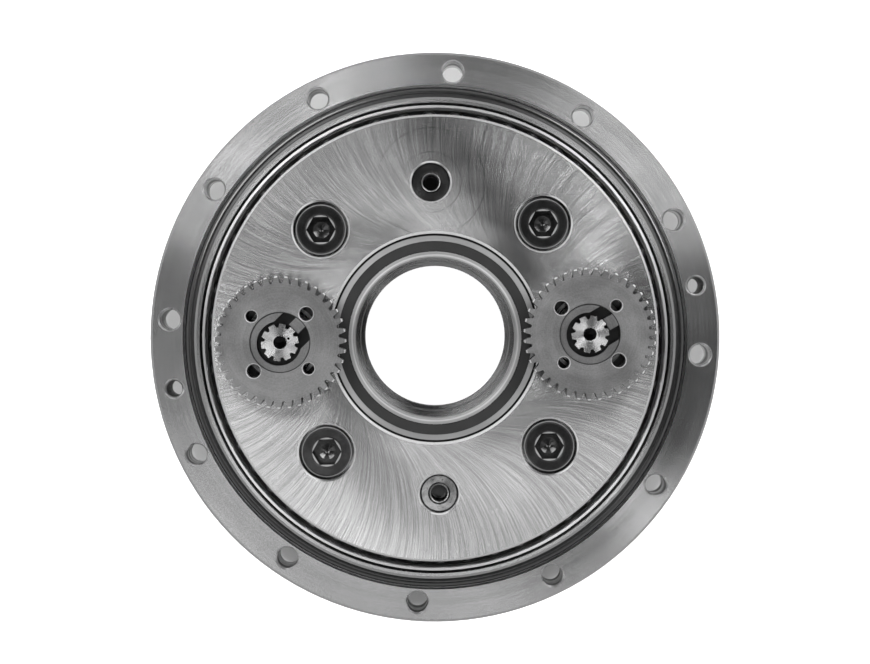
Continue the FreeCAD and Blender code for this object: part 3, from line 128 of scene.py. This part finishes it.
class Tree:
    """The nodes of one material, of the world or of a tree that grows a shape."""

    def __init__(self, owner):
        if not isinstance(owner, bpy.types.NodeTree):
            owner.use_nodes = True
            owner = owner.node_tree
        self.nodes = owner.nodes
        self.links = owner.links
        self.nodes.clear()

    def node(self, kind, settings=None, inputs=None, output=0):
        """Makes a node: its settings first, then the numbers or values of its sockets."""
        made = self.nodes.new(kind)
        for key, setting in (settings or {}).items():
            setattr(made, key, setting)
        for key, entry in (inputs or {}).items():
            socket = made.inputs[key]
            if isinstance(entry, Value):
                self.links.new(entry.socket, socket)
            else:
                socket.default_value = entry
        if not made.outputs:
            return made
        return Value(self, made.outputs[output])

    def output_of(self, value, name):
        """Another output of the node that made a value."""
        return Value(self, value.socket.node.outputs[name])

    def everywhere(self):
        """The point itself, in the object's own coordinates."""
        return self.node("ShaderNodeTexCoord", output="Object")

    def height(self):
        return self.output_of(self.node("ShaderNodeSeparateXYZ", {}, {0: self.everywhere()}), "Z")

    def place(self, x=0.0, y=0.0):
        """Radius, angle's cosine and sine, and height, all about an upright axis."""
        parts = self.node("ShaderNodeSeparateXYZ", {}, {0: self.everywhere()})
        across, along = parts - x, self.output_of(parts, "Y") - y
        height = self.output_of(parts, "Z")
        radius = (across * across + along * along).math("SQRT")
        safe = radius.math("MAXIMUM", 1e-6)
        return Spot(self, across, along, radius, across / safe, along / safe, height)

    def steepness(self):
        """1 where the surface faces straight up, 0 where it stands upright, -1 underneath."""
        way = self.node("ShaderNodeTexCoord", output="Normal")
        return self.output_of(self.node("ShaderNodeSeparateXYZ", {}, {0: way}), "Z")

    def vector(self, x=0.0, y=0.0, z=0.0):
        return self.node("ShaderNodeCombineXYZ", {}, {0: x, 1: y, 2: z})

    def noise(self, spot, scale, detail=2.0, roughness=0.5):
        inputs = {"Vector": spot, "Scale": scale, "Detail": detail, "Roughness": roughness}
        return self.node("ShaderNodeTexNoise", {}, inputs)

    def blend(self, share, first, second):
        """A number that goes from the first to the second with the share."""
        return self.node("ShaderNodeMix", {"data_type": "FLOAT"}, {0: share, 2: first, 3: second})

    def tint(self, share, dark, light):
        """A grey or colour between two colours."""
        mix = self.node("ShaderNodeMix", {"data_type": "RGBA"}, {0: share})
        maker = mix.socket.node
        for socket, colour in ((maker.inputs[6], dark), (maker.inputs[7], light)):
            if isinstance(colour, Value):
                self.links.new(colour.socket, socket)
            else:
                socket.default_value = (*colour, 1.0)
        return Value(self, maker.outputs[2])

    def bump(self, height, distance):
        inputs = {"Height": height, "Distance": distance, "Strength": 1.0}
        return self.node("ShaderNodeBump", {}, inputs)


class Spot:
    """Where a point is, about one upright axis."""

    def __init__(self, tree, x, y, radius, cosine, sine, height):
        self.tree, self.x, self.y = tree, x, y
        self.radius, self.cosine, self.sine, self.height = radius, cosine, sine, height

    def turned_lines(self, fineness, wander=0.0):
        """Fine rings that a lathe tool leaves, which waver a little round the axis."""
        run = self.tree.blend(upright(self.tree), self.radius, self.height) * fineness
        return self.tree.noise(
            self.tree.vector(run, self.cosine * wander, self.sine * wander), 1.0, 2.0)

    def swirl(self):
        """The angle by which the grinding arc through a point is turned about the axis."""
        square = self.radius * self.radius + (ARC_REACH ** 2 - ARC_RADIUS ** 2)
        lean = (square / (self.radius * (2 * ARC_REACH))).math("MINIMUM", 0.999).math("ARCCOSINE")
        return self.y.math("ARCTAN2", self.x) - lean


def material(name):
    made = bpy.data.materials.new(name)
    return made, Tree(made)


def grey(level):
    return (level, level, level * 1.005)


def dye(colour):
    """A colour as a socket takes it: linked, or with its fourth number."""
    return colour if isinstance(colour, Value) else (*colour, 1.0)


def plain_surface(tree, colour, roughness, relief, metallic=1.0, gloss=0.5):
    inputs = {"Base Color": dye(colour), "Roughness": roughness, "Metallic": metallic,
              "Normal": relief, "Specular IOR Level": gloss}
    finish(tree, tree.node("ShaderNodeBsdfPrincipled", {}, inputs))


def lined_steel(tree, colour, roughness, relief, turn=ACROSS_RINGS, lining=LINED):
    """Bare steel with lines too fine to see: its gloss is long across them and short along them.

    The turn, in whole turns from the way round the axis, says which way the gloss is long.
    """
    inputs = {"Base Color": dye(colour), "Roughness": roughness, "Metallic": 1.0, "Normal": relief,
              "Anisotropic": lining, "Anisotropic Rotation": turn}
    return tree.node("ShaderNodeBsdfPrincipled", {}, inputs)


def upright(tree):
    """1 on walls that stand upright."""
    return tree.steepness().math("ABSOLUTE").ramp(0.2, 0.4, 1.0, 0.0)


def chamfer(tree):
    """1 on the sloping edges that face up or down."""
    slope = tree.steepness().math("ABSOLUTE")
    return slope.ramp(0.15, 0.35) * slope.ramp(0.88, 0.97, 1.0, 0.0)


def mixed(tree, share, first, second):
    return tree.node("ShaderNodeMixShader", {}, {0: share, 1: first, 2: second})


def finish(tree, shader):
    tree.node("ShaderNodeOutputMaterial", {}, {"Surface": shader})


def turned_steel(name, level, roughness, depth, fineness=7000.0, wander=0.6,
                 stain=0.12, lining=LINED, painted_rings=()):
    """Bare steel with the fine rings of a lathe or a grinder.

    Each painted ring is a ring of another grey, painted shade or a painted highlight: its middle
    radius, its half width and its level.
    """
    made, tree = material(name)
    spot = tree.place()
    lines = spot.turned_lines(fineness, wander)
    coarse = spot.turned_lines(fineness / 9, wander)
    cloud = tree.noise(tree.everywhere(), 60.0, 3.0)
    share = (lines * 0.25 + coarse * 0.35 + cloud * 0.4).ramp(0.3, 0.7)
    colour = tree.tint(share, grey(level * (1 - stain)), grey(level * (1 + stain)))
    for middle, reach, shade in painted_rings:
        colour = tree.tint(spot.radius.near(middle, reach, 0.0001), colour, grey(shade))
    shine = (cloud * 0.5 + coarse * 0.5).ramp(0.3, 0.7, roughness * 0.85, roughness * 1.15)
    relief = tree.bump(lines + coarse * 0.9, depth)
    wall = lined_steel(tree, colour, WALL_GLOSS, relief, lining=0.0)
    face = lined_steel(tree, colour, shine, relief, lining=lining)
    finish(tree, mixed(tree, upright(tree), face, wall))
    return made


def race_steel():
    """The main bearings' races: bright where the top one shows, with painted shade down in their gap
    and a painted line of shade in the seat gap.
    """
    made, tree = material("ground_race_steel")
    spot = tree.place()
    lines = spot.turned_lines(6000.0, 0.6)
    cloud = tree.noise(tree.everywhere(), 60.0, 3.0)
    colour = tree.tint(lines * 0.5 + cloud * 0.5, grey(0.70), grey(0.90))
    # Painted shade down in the races' gap, and a dark line in the seat gap
    deep = spot.height.ramp(*RACE_GAP, 1.0, 0.0) * spot.height.ramp(*LOWER_BEARING)
    colour = tree.tint(deep, colour, grey(0.30))
    colour = tree.tint(spot.radius.near(MAIN_SEAT, 0.0003, 0.0001), colour, grey(0.02))
    shine = cloud.ramp(0.3, 0.7, 0.36, 0.44)
    finish(tree, lined_steel(tree, colour, shine, tree.bump(lines, 0.6e-5), lining=0.8))
    return made


def arc_turn(radius):
    """Which way the gloss of the grinding arcs is long at a radius."""
    foot = ARC_REACH ** 2 - ARC_RADIUS ** 2 - radius ** 2
    return math.asin(foot / (2 * radius * ARC_RADIUS)) / (2 * math.pi)


def scratches(tree):
    """Where handling left dots, and a dowel tool two faint circles, on the hold flange."""
    everywhere = tree.everywhere()
    dowel = tree.place(0.0, DOWEL_REACH)
    wear = tree.noise(everywhere, 70.0, 2.0)
    inner, outer = (dowel.radius.near(radius, 0.00006, 0.0001) for radius in (0.0095, 0.0170))
    circles = inner + outer
    cell = tree.node("ShaderNodeTexVoronoi", {}, {"Vector": everywhere, "Scale": 330.0})
    dots = cell.ramp(0.06, 0.13, 1.0, 0.0) * wear.ramp(0.43, 0.55)
    return dots, circles * wear.ramp(0.35, 0.55)


def swirl_ground_steel():
    """The hold flange: its top is ground in long arcs, and its other faces are turned, with painted
    highlights on its chamfers and painted shade in the gap at the centre bearing's seat.
    """
    made, tree = material("swirl_ground_steel")
    spot = tree.place()
    everywhere = tree.everywhere()
    top = spot.height.ramp(HOLD_TOP - 0.0003, HOLD_TOP - 0.0001) * tree.steepness().ramp(0.8, 0.95)
    label = spot.swirl()
    way = tree.vector(label.math("COSINE"), label.math("SINE"), spot.radius * 0.2)
    arcs = tree.noise(way, 120.0, 2.0, 0.6) * 0.35 + tree.noise(way, 360.0, 1.0) * 0.65
    arcs = arcs.ramp(0.36, 0.64)
    turned = spot.turned_lines(7000.0, 0.6)
    cloud = tree.noise(everywhere, 45.0, 3.0)
    dots, circles = scratches(tree)
    share = tree.blend(top, turned, arcs * 0.85 + cloud * 0.15)
    colour = tree.tint(share, grey(0.41), grey(0.76))
    colour = tree.tint(top * dots * 0.6, colour, EDGE_HIGHLIGHT_AND_WEAR_WHITE)
    colour = tree.tint(top * circles * 0.6, colour, grey(0.12))
    # Painted shade: a dark line in the gap at the centre bearing's seat
    painted_gap_shade = spot.radius.near(CENTRE_SEAT, 0.0002, 0.0001)
    colour = tree.tint(painted_gap_shade, colour, grey(0.03))
    shine = cloud.ramp(0.3, 0.7, 0.235, 0.255)
    relief = tree.bump(tree.blend(top, turned, arcs), 0.3e-5)
    steps = [(radius, arc_turn(radius)) for radius in ARC_STEPS]
    ground = lined_steel(tree, colour, shine, relief, steps[0][1])
    for (wide, _), (slim, turn) in zip(steps, steps[1:]):
        inner = lined_steel(tree, colour, shine, relief, turn)
        ground = mixed(tree, spot.radius.ramp(slim, wide, 1.0, 0.0), ground, inner)
    side = lined_steel(tree, colour, shine, relief)
    # Painted highlight: near-white, glossy chamfers
    painted_edge = lined_steel(tree, EDGE_HIGHLIGHT_AND_WEAR_WHITE, 0.25, relief, lining=0.0)
    inside = spot.radius.ramp(HOLD_EDGE, HOLD_EDGE + 0.0005, 1.0, 0.0)
    side = mixed(tree, chamfer(tree) * (1 - painted_gap_shade) * inside, side, painted_edge)
    finish(tree, mixed(tree, top, side, ground))
    return made


def case_steel():
    """The case: ground rings on its faces, drill marks with painted shade and reflections down its
    bolt holes, painted shade in its groove, seat gap and on its spigot and rim chamfers, and a painted
    highlight on the bolt holes' chamfers.
    """
    made, tree = material("ground_case_steel")
    spot = tree.place()
    everywhere = tree.everywhere()
    walls = upright(tree)
    in_hole = walls * spot.radius.near(BOLT_CIRCLE, 0.0036, 0.0003)
    hole_edge = chamfer(tree) * spot.radius.near(BOLT_CIRCLE, 0.0040, 0.0002)
    lines = spot.turned_lines(7000.0, 0.6)
    coarse = spot.turned_lines(1200.0, 0.25)
    drill = tree.noise(tree.vector(spot.height * 150.0, spot.x * 60.0, spot.y * 60.0), 1.0, 1.0)
    cloud = tree.noise(everywhere, 60.0, 4.0)
    grain = tree.noise(everywhere, 1900.0, 1.0)
    share = cloud * 0.35 + coarse * 0.2 + lines * 0.15 + grain * 0.3
    colour = tree.tint(share.ramp(0.36, 0.64), grey(0.49), grey(0.65))
    # Drill marks painted in bands from near black to light grey, also as the shade and reflections
    # down the bolt holes
    drill_marks_and_shade = tree.tint(drill.ramp(0.42, 0.58), grey(0.02), grey(0.75))
    colour = tree.tint(in_hole, colour, drill_marks_and_shade)
    # Painted highlight: the bolt holes' chamfers a lighter grey
    colour = tree.tint(hole_edge, colour, grey(0.62))
    # Painted shade: darker spigot and rim chamfers, a dark O-ring groove, and a dark line in the seat
    # gap
    painted_rim_shade = chamfer(tree) * spot.radius.ramp(RIM_EDGE, RIM_EDGE + 0.0005)
    painted_spigot_shade = chamfer(tree) * spot.radius.near(SPIGOT_EDGE, 0.0010, 0.0001)
    painted_groove_shade = spot.radius.near(GROOVE_RADIUS, 0.0021, 0.0001)
    painted_groove_shade = painted_groove_shade * spot.height.near(GROOVE_HEIGHT, 0.0035, 0.001)
    colour = tree.tint(painted_spigot_shade, colour, grey(0.24))
    colour = tree.tint(painted_groove_shade, colour, grey(0.05))
    colour = tree.tint(painted_rim_shade, colour, grey(0.30))
    colour = tree.tint(spot.radius.near(MAIN_SEAT, 0.0004, 0.0001), colour, grey(0.02))
    shine = (cloud * 0.6 + coarse * 0.4).ramp(0.3, 0.7, 0.235, 0.255)
    height = tree.blend(in_hole, lines * 0.3 + coarse * 0.3, drill * 8.0)
    relief = tree.bump(height, 1.0e-5)
    wall = lined_steel(tree, colour, WALL_GLOSS, relief, lining=0.0)
    finish(tree, mixed(tree, walls, lined_steel(tree, colour, shine, relief), wall))
    return made


def gear_steel(side):
    """A spur gear and its clip: fine-grained matt faces, painted highlights on their chamfers, and
    painted shade on the tooth flanks, down the well and in the gap round the clip.
    """
    made, tree = material(f"matt_gear_steel_{side}")
    spot = tree.place(CRANKS[side])
    everywhere = tree.everywhere()
    grain = tree.noise(everywhere, 2600.0, 2.0)
    rings = spot.turned_lines(2600.0, 0.4)
    cloud = tree.noise(everywhere, 90.0, 4.0)
    inner_shade = spot.radius.ramp(GEAR_RECESS - 0.0003, GEAR_RECESS + 0.0001, 0.80, 1.0)
    share = (grain * 0.35 + rings * 0.25 + cloud * 0.4).ramp(0.3, 0.7)
    colour = tree.tint(share, grey(0.19), grey(0.31))
    colour = tree.tint(inner_shade, grey(0.0), colour)
    # Painted shade: dark tooth flanks, a dark well and a dark line in the gap round the clip
    painted_flank_shade = upright(tree) * spot.radius.ramp(TOOTH_ROOT - 0.0005, TOOTH_ROOT + 0.0005)
    colour = tree.tint(painted_flank_shade, colour, grey(0.07))
    painted_well_shade = spot.radius.ramp(GEAR_RECESS + 0.0001, GEAR_RECESS + 0.0002, 1.0, 0.0)
    painted_well_shade = painted_well_shade * spot.height.ramp(GEAR_TOP - 0.0022, GEAR_TOP - 0.0018, 1.0, 0.0)
    painted_rim_shade = spot.radius.near(GEAR_RECESS, 0.00012, 0.0001)
    painted_rim_shade = painted_rim_shade * spot.height.ramp(GEAR_TOP - 0.0018, GEAR_TOP - 0.0016)
    colour = tree.tint(painted_well_shade, colour, grey(0.045))
    colour = tree.tint(painted_rim_shade * 0.8, colour, grey(0.02))
    # Painted highlight: light grey chamfers
    colour = tree.tint(chamfer(tree) * (1 - painted_well_shade), colour, grey(0.70))
    shine = cloud.ramp(0.3, 0.7, 0.38, 0.48)
    plain_surface(tree, colour, shine, tree.bump(grain + rings * 0.8, 1.2e-5))
    return made


def crank_steel(side):
    """A crankshaft: bright, with the faced end's rings and one punch dot on the left one, and painted
    shade on the spline flanks and down the centre hole.
    """
    made, tree = material(f"bright_crank_steel_{side}")
    spot = tree.place(CRANKS[side])
    everywhere = tree.everywhere()
    rings = spot.turned_lines(5200.0, 0.5)
    coarse = spot.turned_lines(900.0, 0.5)
    cloud = tree.noise(everywhere, 120.0, 3.0)
    colour = tree.tint(coarse * 0.5 + cloud * 0.5, grey(0.66), grey(0.90))
    splined = spot.height.ramp(SPLINE_FOOT, SPLINE_FOOT + 0.0005)
    # Painted shade: dark spline flanks
    painted_flank_shade = upright(tree) * spot.radius.ramp(SPLINE_ROOT, SPLINE_ROOT + 0.0002) * splined
    colour = tree.tint(painted_flank_shade, colour, grey(0.03))
    if side == "left":
        angle = math.radians(24)
        dot_x = CRANKS[side] + PUNCH_REACH * math.cos(angle)
        dot_y = PUNCH_REACH * math.sin(angle)
        dot = tree.place(dot_x, dot_y).radius.ramp(0.00034, 0.00052, 1.0, 0.0)
        dot = dot * spot.height.ramp(CRANK_TOP - 0.0005, CRANK_TOP - 0.0002)
        colour = tree.tint(dot, colour, grey(0.01))
    # Painted shade down the centre hole
    painted_drill_shade = spot.radius.ramp(CENTRE_DRILL, CENTRE_DRILL + 0.0001, 1.0, 0.0) * splined
    colour = tree.tint(painted_drill_shade, colour, grey(0.05))
    shine = cloud.ramp(0.3, 0.7, 0.20, 0.26)
    relief = tree.bump(rings + coarse * 0.7, 0.4e-5)
    finish(tree, lined_steel(tree, colour, shine, relief, turn=0.0))
    return made


def black_screw():
    """Black oxide over knurled and turned steel, with painted highlights on its chamfer and a ledge,
    and a painted reflection on its upright walls from the socket's floor up.
    """
    made, tree = material("black_oxide")
    everywhere = tree.everywhere()
    height = tree.height()
    grain = tree.noise(everywhere, 1500.0, 3.0)
    cloud = tree.noise(everywhere, 240.0, 3.0)
    colour = tree.tint(cloud.ramp(0.35, 0.75), grey(0.050), grey(0.085))
    walls = upright(tree)
    # Painted reflection: lighter upright walls from the socket's floor up
    socket = walls * height.ramp(SOCKET_FLOOR, SOCKET_FLOOR + 0.0010)
    colour = tree.tint(socket, colour, grey(0.22))
    # Painted highlights: a lighter chamfer and a pale, non-metal ledge
    painted_ledge_highlight = height.near(SOCKET_LEDGE, 0.00012, 0.0001) * (1 - walls)
    painted_edge = chamfer(tree) * height.ramp(SCREW_EDGE, SCREW_EDGE + 0.0005)
    colour = tree.tint(painted_edge, colour, grey(0.14))
    colour = tree.tint(painted_ledge_highlight, colour, grey(0.30))
    shine = grain.ramp(0.3, 0.7, 0.13, 0.20)
    relief = tree.bump(grain + cloud * 1.5, 0.5e-5)
    plain_surface(tree, colour, shine, relief, metallic=0.85 - painted_ledge_highlight * 0.85)
    return made


def dowel_steel():
    """The dowel pins: plainly ground, with no lining to their gloss, and painted shade down their
    puller holes and on their chamfers.
    """
    made, tree = material("ground_dowel_steel")
    everywhere = tree.everywhere()
    cloud = tree.noise(everywhere, 300.0, 3.0)
    spots = tree.noise(everywhere, 1400.0, 2.0).ramp(0.62, 0.72)
    colour = tree.tint(cloud.ramp(0.3, 0.7), grey(0.50), grey(0.66))
    colour = tree.tint(spots, colour, grey(0.25))
    height = tree.height()
    for way in (1.0, -1.0):
        dowel = tree.place(0.0, DOWEL_REACH * way)
        # Painted shade down the puller holes
        painted_hole_shade = dowel.radius.ramp(PULLER_HOLE, PULLER_HOLE + 0.0001, 1.0, 0.0)
        colour = tree.tint(painted_hole_shade * height.ramp(0.0575, 0.0581, 1.0, 0.0), colour, grey(0.08))
    # Painted shade: darker chamfers
    painted_edge = chamfer(tree) * height.ramp(DOWEL_EDGE, DOWEL_EDGE + 0.001)
    colour = tree.tint(painted_edge, colour, grey(0.16))
    shine = cloud.ramp(0.3, 0.7, 0.10, 0.15)
    plain_surface(tree, colour, shine, tree.bump(cloud, 0.5e-5))
    return made


def rubber(name, level, roughness, gloss):
    """Moulded rubber with a fine grain, a little paler where it is dusty."""
    made, tree = material(name)
    everywhere = tree.everywhere()
    grain = tree.noise(everywhere, 2200.0, 2.0)
    cloud = tree.noise(everywhere, 150.0, 3.0)
    colour = tree.tint(cloud, grey(level * 0.7), grey(level * 1.5))
    shine = grain.ramp(0.3, 0.7, roughness * 0.85, roughness * 1.15)
    plain_surface(tree, colour, shine, tree.bump(grain, 0.4e-5), metallic=0.0, gloss=gloss)
    return made


FINISHES = {
    "case": case_steel(),
    "hold_flange": swirl_ground_steel(),
    # The shaft's ring is painted shade round its bore; the centre race's rings are painted shade in
    # the seat gap and a painted highlight on a chamfer
    "shaft": turned_steel("turned_shaft_steel", 0.46, 0.26, 0.8e-5, painted_rings=((0.0235, 0.0024, 0.34),)),
    "race": race_steel(),
    "centre_race": turned_steel(
        "matt_race_steel", 0.37, 0.50, 0.8e-5, fineness=6000.0, lining=0.4,
        painted_rings=((CENTRE_SEAT, 0.0004, 0.03), (0.0260, 0.0002, 0.60))),
    "ball": turned_steel("polished_ball_steel", 0.82, 0.07, 0.1e-5, fineness=3000.0, stain=0.04),
    "pin": turned_steel("ground_pin_steel", 0.40, 0.26, 0.6e-5),
    "cage": turned_steel("pressed_cage_steel", 0.42, 0.36, 2.0e-5, fineness=4000.0, stain=0.4),
    "disc": turned_steel("ground_disc_steel", 0.50, 0.26, 0.8e-5),
    "spring": turned_steel("phosphated_spring_steel", 0.11, 0.38, 2.0e-5, fineness=4000.0, stain=0.3),
    "screw": black_screw(),
    "dowel": dowel_steel(),
    "thread": turned_steel("cut_thread_steel", 0.34, 0.34, 0.6e-5, fineness=4000.0, lining=0.0),
    "rubber": rubber("black_rubber", 0.008, 0.20, 0.9),
    "seal": rubber("bearing_seal_rubber", 0.020, 0.50, 0.3),
}
for side in CRANKS:
    FINISHES[f"gear_{side}"] = gear_steel(side)
    FINISHES[f"crank_{side}"] = crank_steel(side)


def finish_of(name):
    """The first entry whose words are in the node's name tells its finish."""
    side = "left" if "left" in name else "right"
    for words, coat in (
        ("case_o_ring", "rubber"), ("output_oil_seal", "rubber"), ("centre_bearing_seals", "seal"),
        ("case", "case"), ("ring_pins", "pin"), ("hold_flange", "hold_flange"),
        ("output_shaft", "shaft"), ("carrier_screws", "screw"), ("dowel_pins", "dowel"),
        ("circlip", "spring"), ("gear_clip", f"gear_{side}"), ("spur_gear", f"gear_{side}"),
        ("crankshaft", f"crank_{side}"), ("cycloid_disc", "disc"), ("cage", "cage"),
        ("balls", "ball"), ("rollers", "ball"), ("needles", "ball"), ("centre_bearing", "centre_race"),
    ):
        if words in name:
            return coat
    return "race"


for name, thing in nodes.items():
    thing.data.materials.clear()
    thing.data.materials.append(FINISHES[finish_of(name)])


THREAD_SIZES = ("Hole radius", "Pitch", "Turns", "Low end", "Circle radius", "First angle")


def thread_tree():
    """Grows a thread's ridge up each hole of a circle of tapped holes."""
    group = bpy.data.node_groups.new("thread_ridges", "GeometryNodeTree")
    for label in THREAD_SIZES:
        group.interface.new_socket(name=label, in_out="INPUT", socket_type="NodeSocketFloat")
    group.interface.new_socket(name="Holes", in_out="INPUT", socket_type="NodeSocketInt")
    group.interface.new_socket(name="Metal", in_out="INPUT", socket_type="NodeSocketMaterial")
    group.interface.new_socket(name="Threads", in_out="OUTPUT", socket_type="NodeSocketGeometry")
    tree = Tree(group)
    given = tree.node("NodeGroupInput", output="Pitch")
    size = {label: tree.output_of(given, label) for label in (*THREAD_SIZES, "Holes", "Metal")}
    index = tree.node("GeometryNodeInputIndex")
    angle = index * (2 * math.pi) / size["Holes"] + size["First angle"]
    reach = size["Circle radius"]
    middle = tree.vector(
        reach * angle.math("COSINE"), reach * angle.math("SINE"), size["Low end"])
    spots = tree.node("GeometryNodePoints", {}, {"Count": size["Holes"], "Position": middle})
    helix = tree.node("GeometryNodeCurveSpiral", {}, {
        "Resolution": 20, "Rotations": size["Turns"], "Start Radius": size["Hole radius"],
        "End Radius": size["Hole radius"], "Height": size["Pitch"] * size["Turns"]})
    profile = tree.node("GeometryNodeCurvePrimitiveCircle", {}, {
        "Resolution": 4, "Radius": size["Pitch"] * 0.5})
    ridge = tree.node("GeometryNodeCurveToMesh", {}, {
        "Curve": helix, "Profile Curve": profile, "Fill Caps": True})
    placed = tree.node("GeometryNodeInstanceOnPoints", {}, {"Points": spots, "Instance": ridge})
    real = tree.node("GeometryNodeRealizeInstances", {}, {"Geometry": placed})
    coated = tree.node("GeometryNodeSetMaterial", {}, {"Geometry": real, "Material": size["Metal"]})
    tree.node("NodeGroupOutput", {}, {"Threads": coated})
    return group


def cut_threads(group, name, body, sizes):
    """Grows the threads as one closed mesh that rides on a body."""
    thing = bpy.data.objects.new(name, bpy.data.meshes.new(name))
    bpy.context.scene.collection.objects.link(thing)
    grower = thing.modifiers.new("threads", "NODES")
    grower.node_group = group
    for entry in group.interface.items_tree:
        if entry.in_out == "INPUT":
            grower[entry.identifier] = sizes.get(entry.name, FINISHES["thread"])
    grown = thing.evaluated_get(bpy.context.evaluated_depsgraph_get())
    mesh = bpy.data.meshes.new_from_object(grown)
    thing.modifiers.remove(grower)
    thing.data = mesh
    shape = bmesh.new()
    shape.from_mesh(mesh)
    bmesh.ops.remove_doubles(shape, verts=shape.verts, dist=1e-6)
    bmesh.ops.recalc_face_normals(shape, faces=shape.faces)
    shape.to_mesh(mesh)
    shape.free()
    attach(thing, body)


# Tapped holes: name, body, slot, thread radius, pitch, turns, low end, circle, first angle, count
THREADS = (
    ("jack_hole_threads", "case", "case_steel", 0.003, 0.001, 18.0, 0.0230, BOLT_CIRCLE, 9.67, 2),
    ("output_hole_threads", "carrier", "carrier_steel", 0.004, 0.00125, 6.8, 0.0012, 0.056, 15.0, 12),
    ("dowel_hole_threads", "carrier", "pin_steel", 0.003, 0.001, 8.4, 0.0492, DOWEL_REACH, 90.0, 2),
)


def make_threads():
    group = thread_tree()
    for name, body, slot, radius, pitch, turns, low, circle, angle, count in THREADS:
        numbers = (radius, pitch, turns, low, circle, math.radians(angle))
        cut_threads(group, name, body, {**dict(zip(THREAD_SIZES, numbers)), "Holes": count})


def make_floor():
    """The pale ground that the reducer stands on."""
    mesh = bpy.data.meshes.new("floor")
    half, low = 3.0, -0.0003
    corners = ((-half, -half), (half, -half), (half, half), (-half, half))
    mesh.from_pydata([(x, y, low) for x, y in corners], [], [(0, 1, 2, 3)])
    floor = bpy.data.objects.new("floor", mesh)
    bpy.context.scene.collection.objects.link(floor)
    made, tree = material("pale_floor")
    spot = tree.place()
    # White as the camera sees it, dimmer in the steel's gloss, and painted darker, as shade, with no
    # glow in a ring under the reducer
    rays = tree.node("ShaderNodeLightPath", output="Is Camera Ray")
    seen = rays + tree.output_of(rays, "Is Glossy Ray") * 0.1
    painted_shade_under = spot.radius.ramp(0.040, 0.060) * spot.radius.ramp(0.090, 0.097, 1.0, 0.0)
    glow = tree.blend(painted_shade_under, 1.0, 0.0)
    colour = tree.tint(painted_shade_under, (0.8, 0.8, 0.8), (0.5, 0.5, 0.5))
    paper = tree.node("ShaderNodeBsdfDiffuse", {}, {"Color": colour})
    light = tree.node("ShaderNodeEmission", {}, {"Color": WHITE, "Strength": glow * seen})
    finish(tree, tree.node("ShaderNodeAddShader", {}, {0: paper, 1: light}))
    mesh.materials.append(made)


def make_world():
    """A white studio: bright walls all round, a dim ceiling, and plain white to the camera."""
    world = bpy.data.worlds.new("studio")
    bpy.context.scene.world = world
    tree = Tree(world)
    way = tree.node("ShaderNodeTexCoord", output="Generated")
    up = tree.output_of(tree.node("ShaderNodeSeparateXYZ", {}, {0: way}), "Z")
    wall = up.ramp(0.55, 0.80, 0.85, 0.03)
    rays = tree.node("ShaderNodeLightPath", output="Is Camera Ray")
    strength = tree.blend(rays, wall, 1.0)
    glow = tree.node("ShaderNodeBackground", {}, {"Color": WHITE, "Strength": strength})
    tree.node("ShaderNodeOutputWorld", {}, {"Surface": glow})


LAMP_HEIGHT = 2.0
# Soft boxes: name, place and size as shares of the lamps' height, brightness
LAMPS = (
    ("back_left", (-0.607, 0.631), (0.80, 0.60), 7.1),
    ("back_right", (0.780, 0.631), (0.80, 0.60), 8.3),
    ("back_spot", (-0.079, 0.320), (0.124, 0.061), 6.7),
    ("left", (-0.387, -0.094), (0.40, 0.265), 0.8),
    ("front", (-0.079, -0.222), (0.393, 0.254), 1.54),
    ("front_right", (0.321, -0.294), (0.086, 0.332), 3.6),
)


def make_lamps():
    for name, (x, y), (wide, deep), brightness in LAMPS:
        lamp = bpy.data.lights.new(name, "AREA")
        lamp.shape = "RECTANGLE"
        lamp.size, lamp.size_y = wide * LAMP_HEIGHT, deep * LAMP_HEIGHT
        lamp.energy = brightness * math.pi * lamp.size * lamp.size_y
        thing = bpy.data.objects.new(name, lamp)
        thing.location = (x * LAMP_HEIGHT, y * LAMP_HEIGHT, LAMP_HEIGHT)
        thing.rotation_euler = Vector((x, y, 1.0)).to_track_quat("Z", "Y").to_euler()
        bpy.context.scene.collection.objects.link(thing)


CAMERA_HEIGHT = 0.822
# How far the camera stands off the axis, and by how much the photo is turned
CAMERA_OFFSET = 0.0103
PHOTO_TURN = math.radians(-1.53)


def make_camera():
    """Looks straight down, as the photo was taken."""
    eye = bpy.data.cameras.new("camera")
    eye.lens = 100.5
    eye.sensor_width = 36.0
    eye.shift_y = -0.031
    thing = bpy.data.objects.new("camera", eye)
    across, along = -CAMERA_OFFSET * math.sin(PHOTO_TURN), CAMERA_OFFSET * math.cos(PHOTO_TURN)
    thing.location = (across, along, CAMERA_HEIGHT)
    thing.rotation_euler = (0.0, 0.0, PHOTO_TURN)
    bpy.context.scene.collection.objects.link(thing)
    bpy.context.scene.camera = thing


make_threads()
make_floor()
make_world()
make_lamps()
make_camera()
bpy.context.scene.view_settings.view_transform = "Standard"
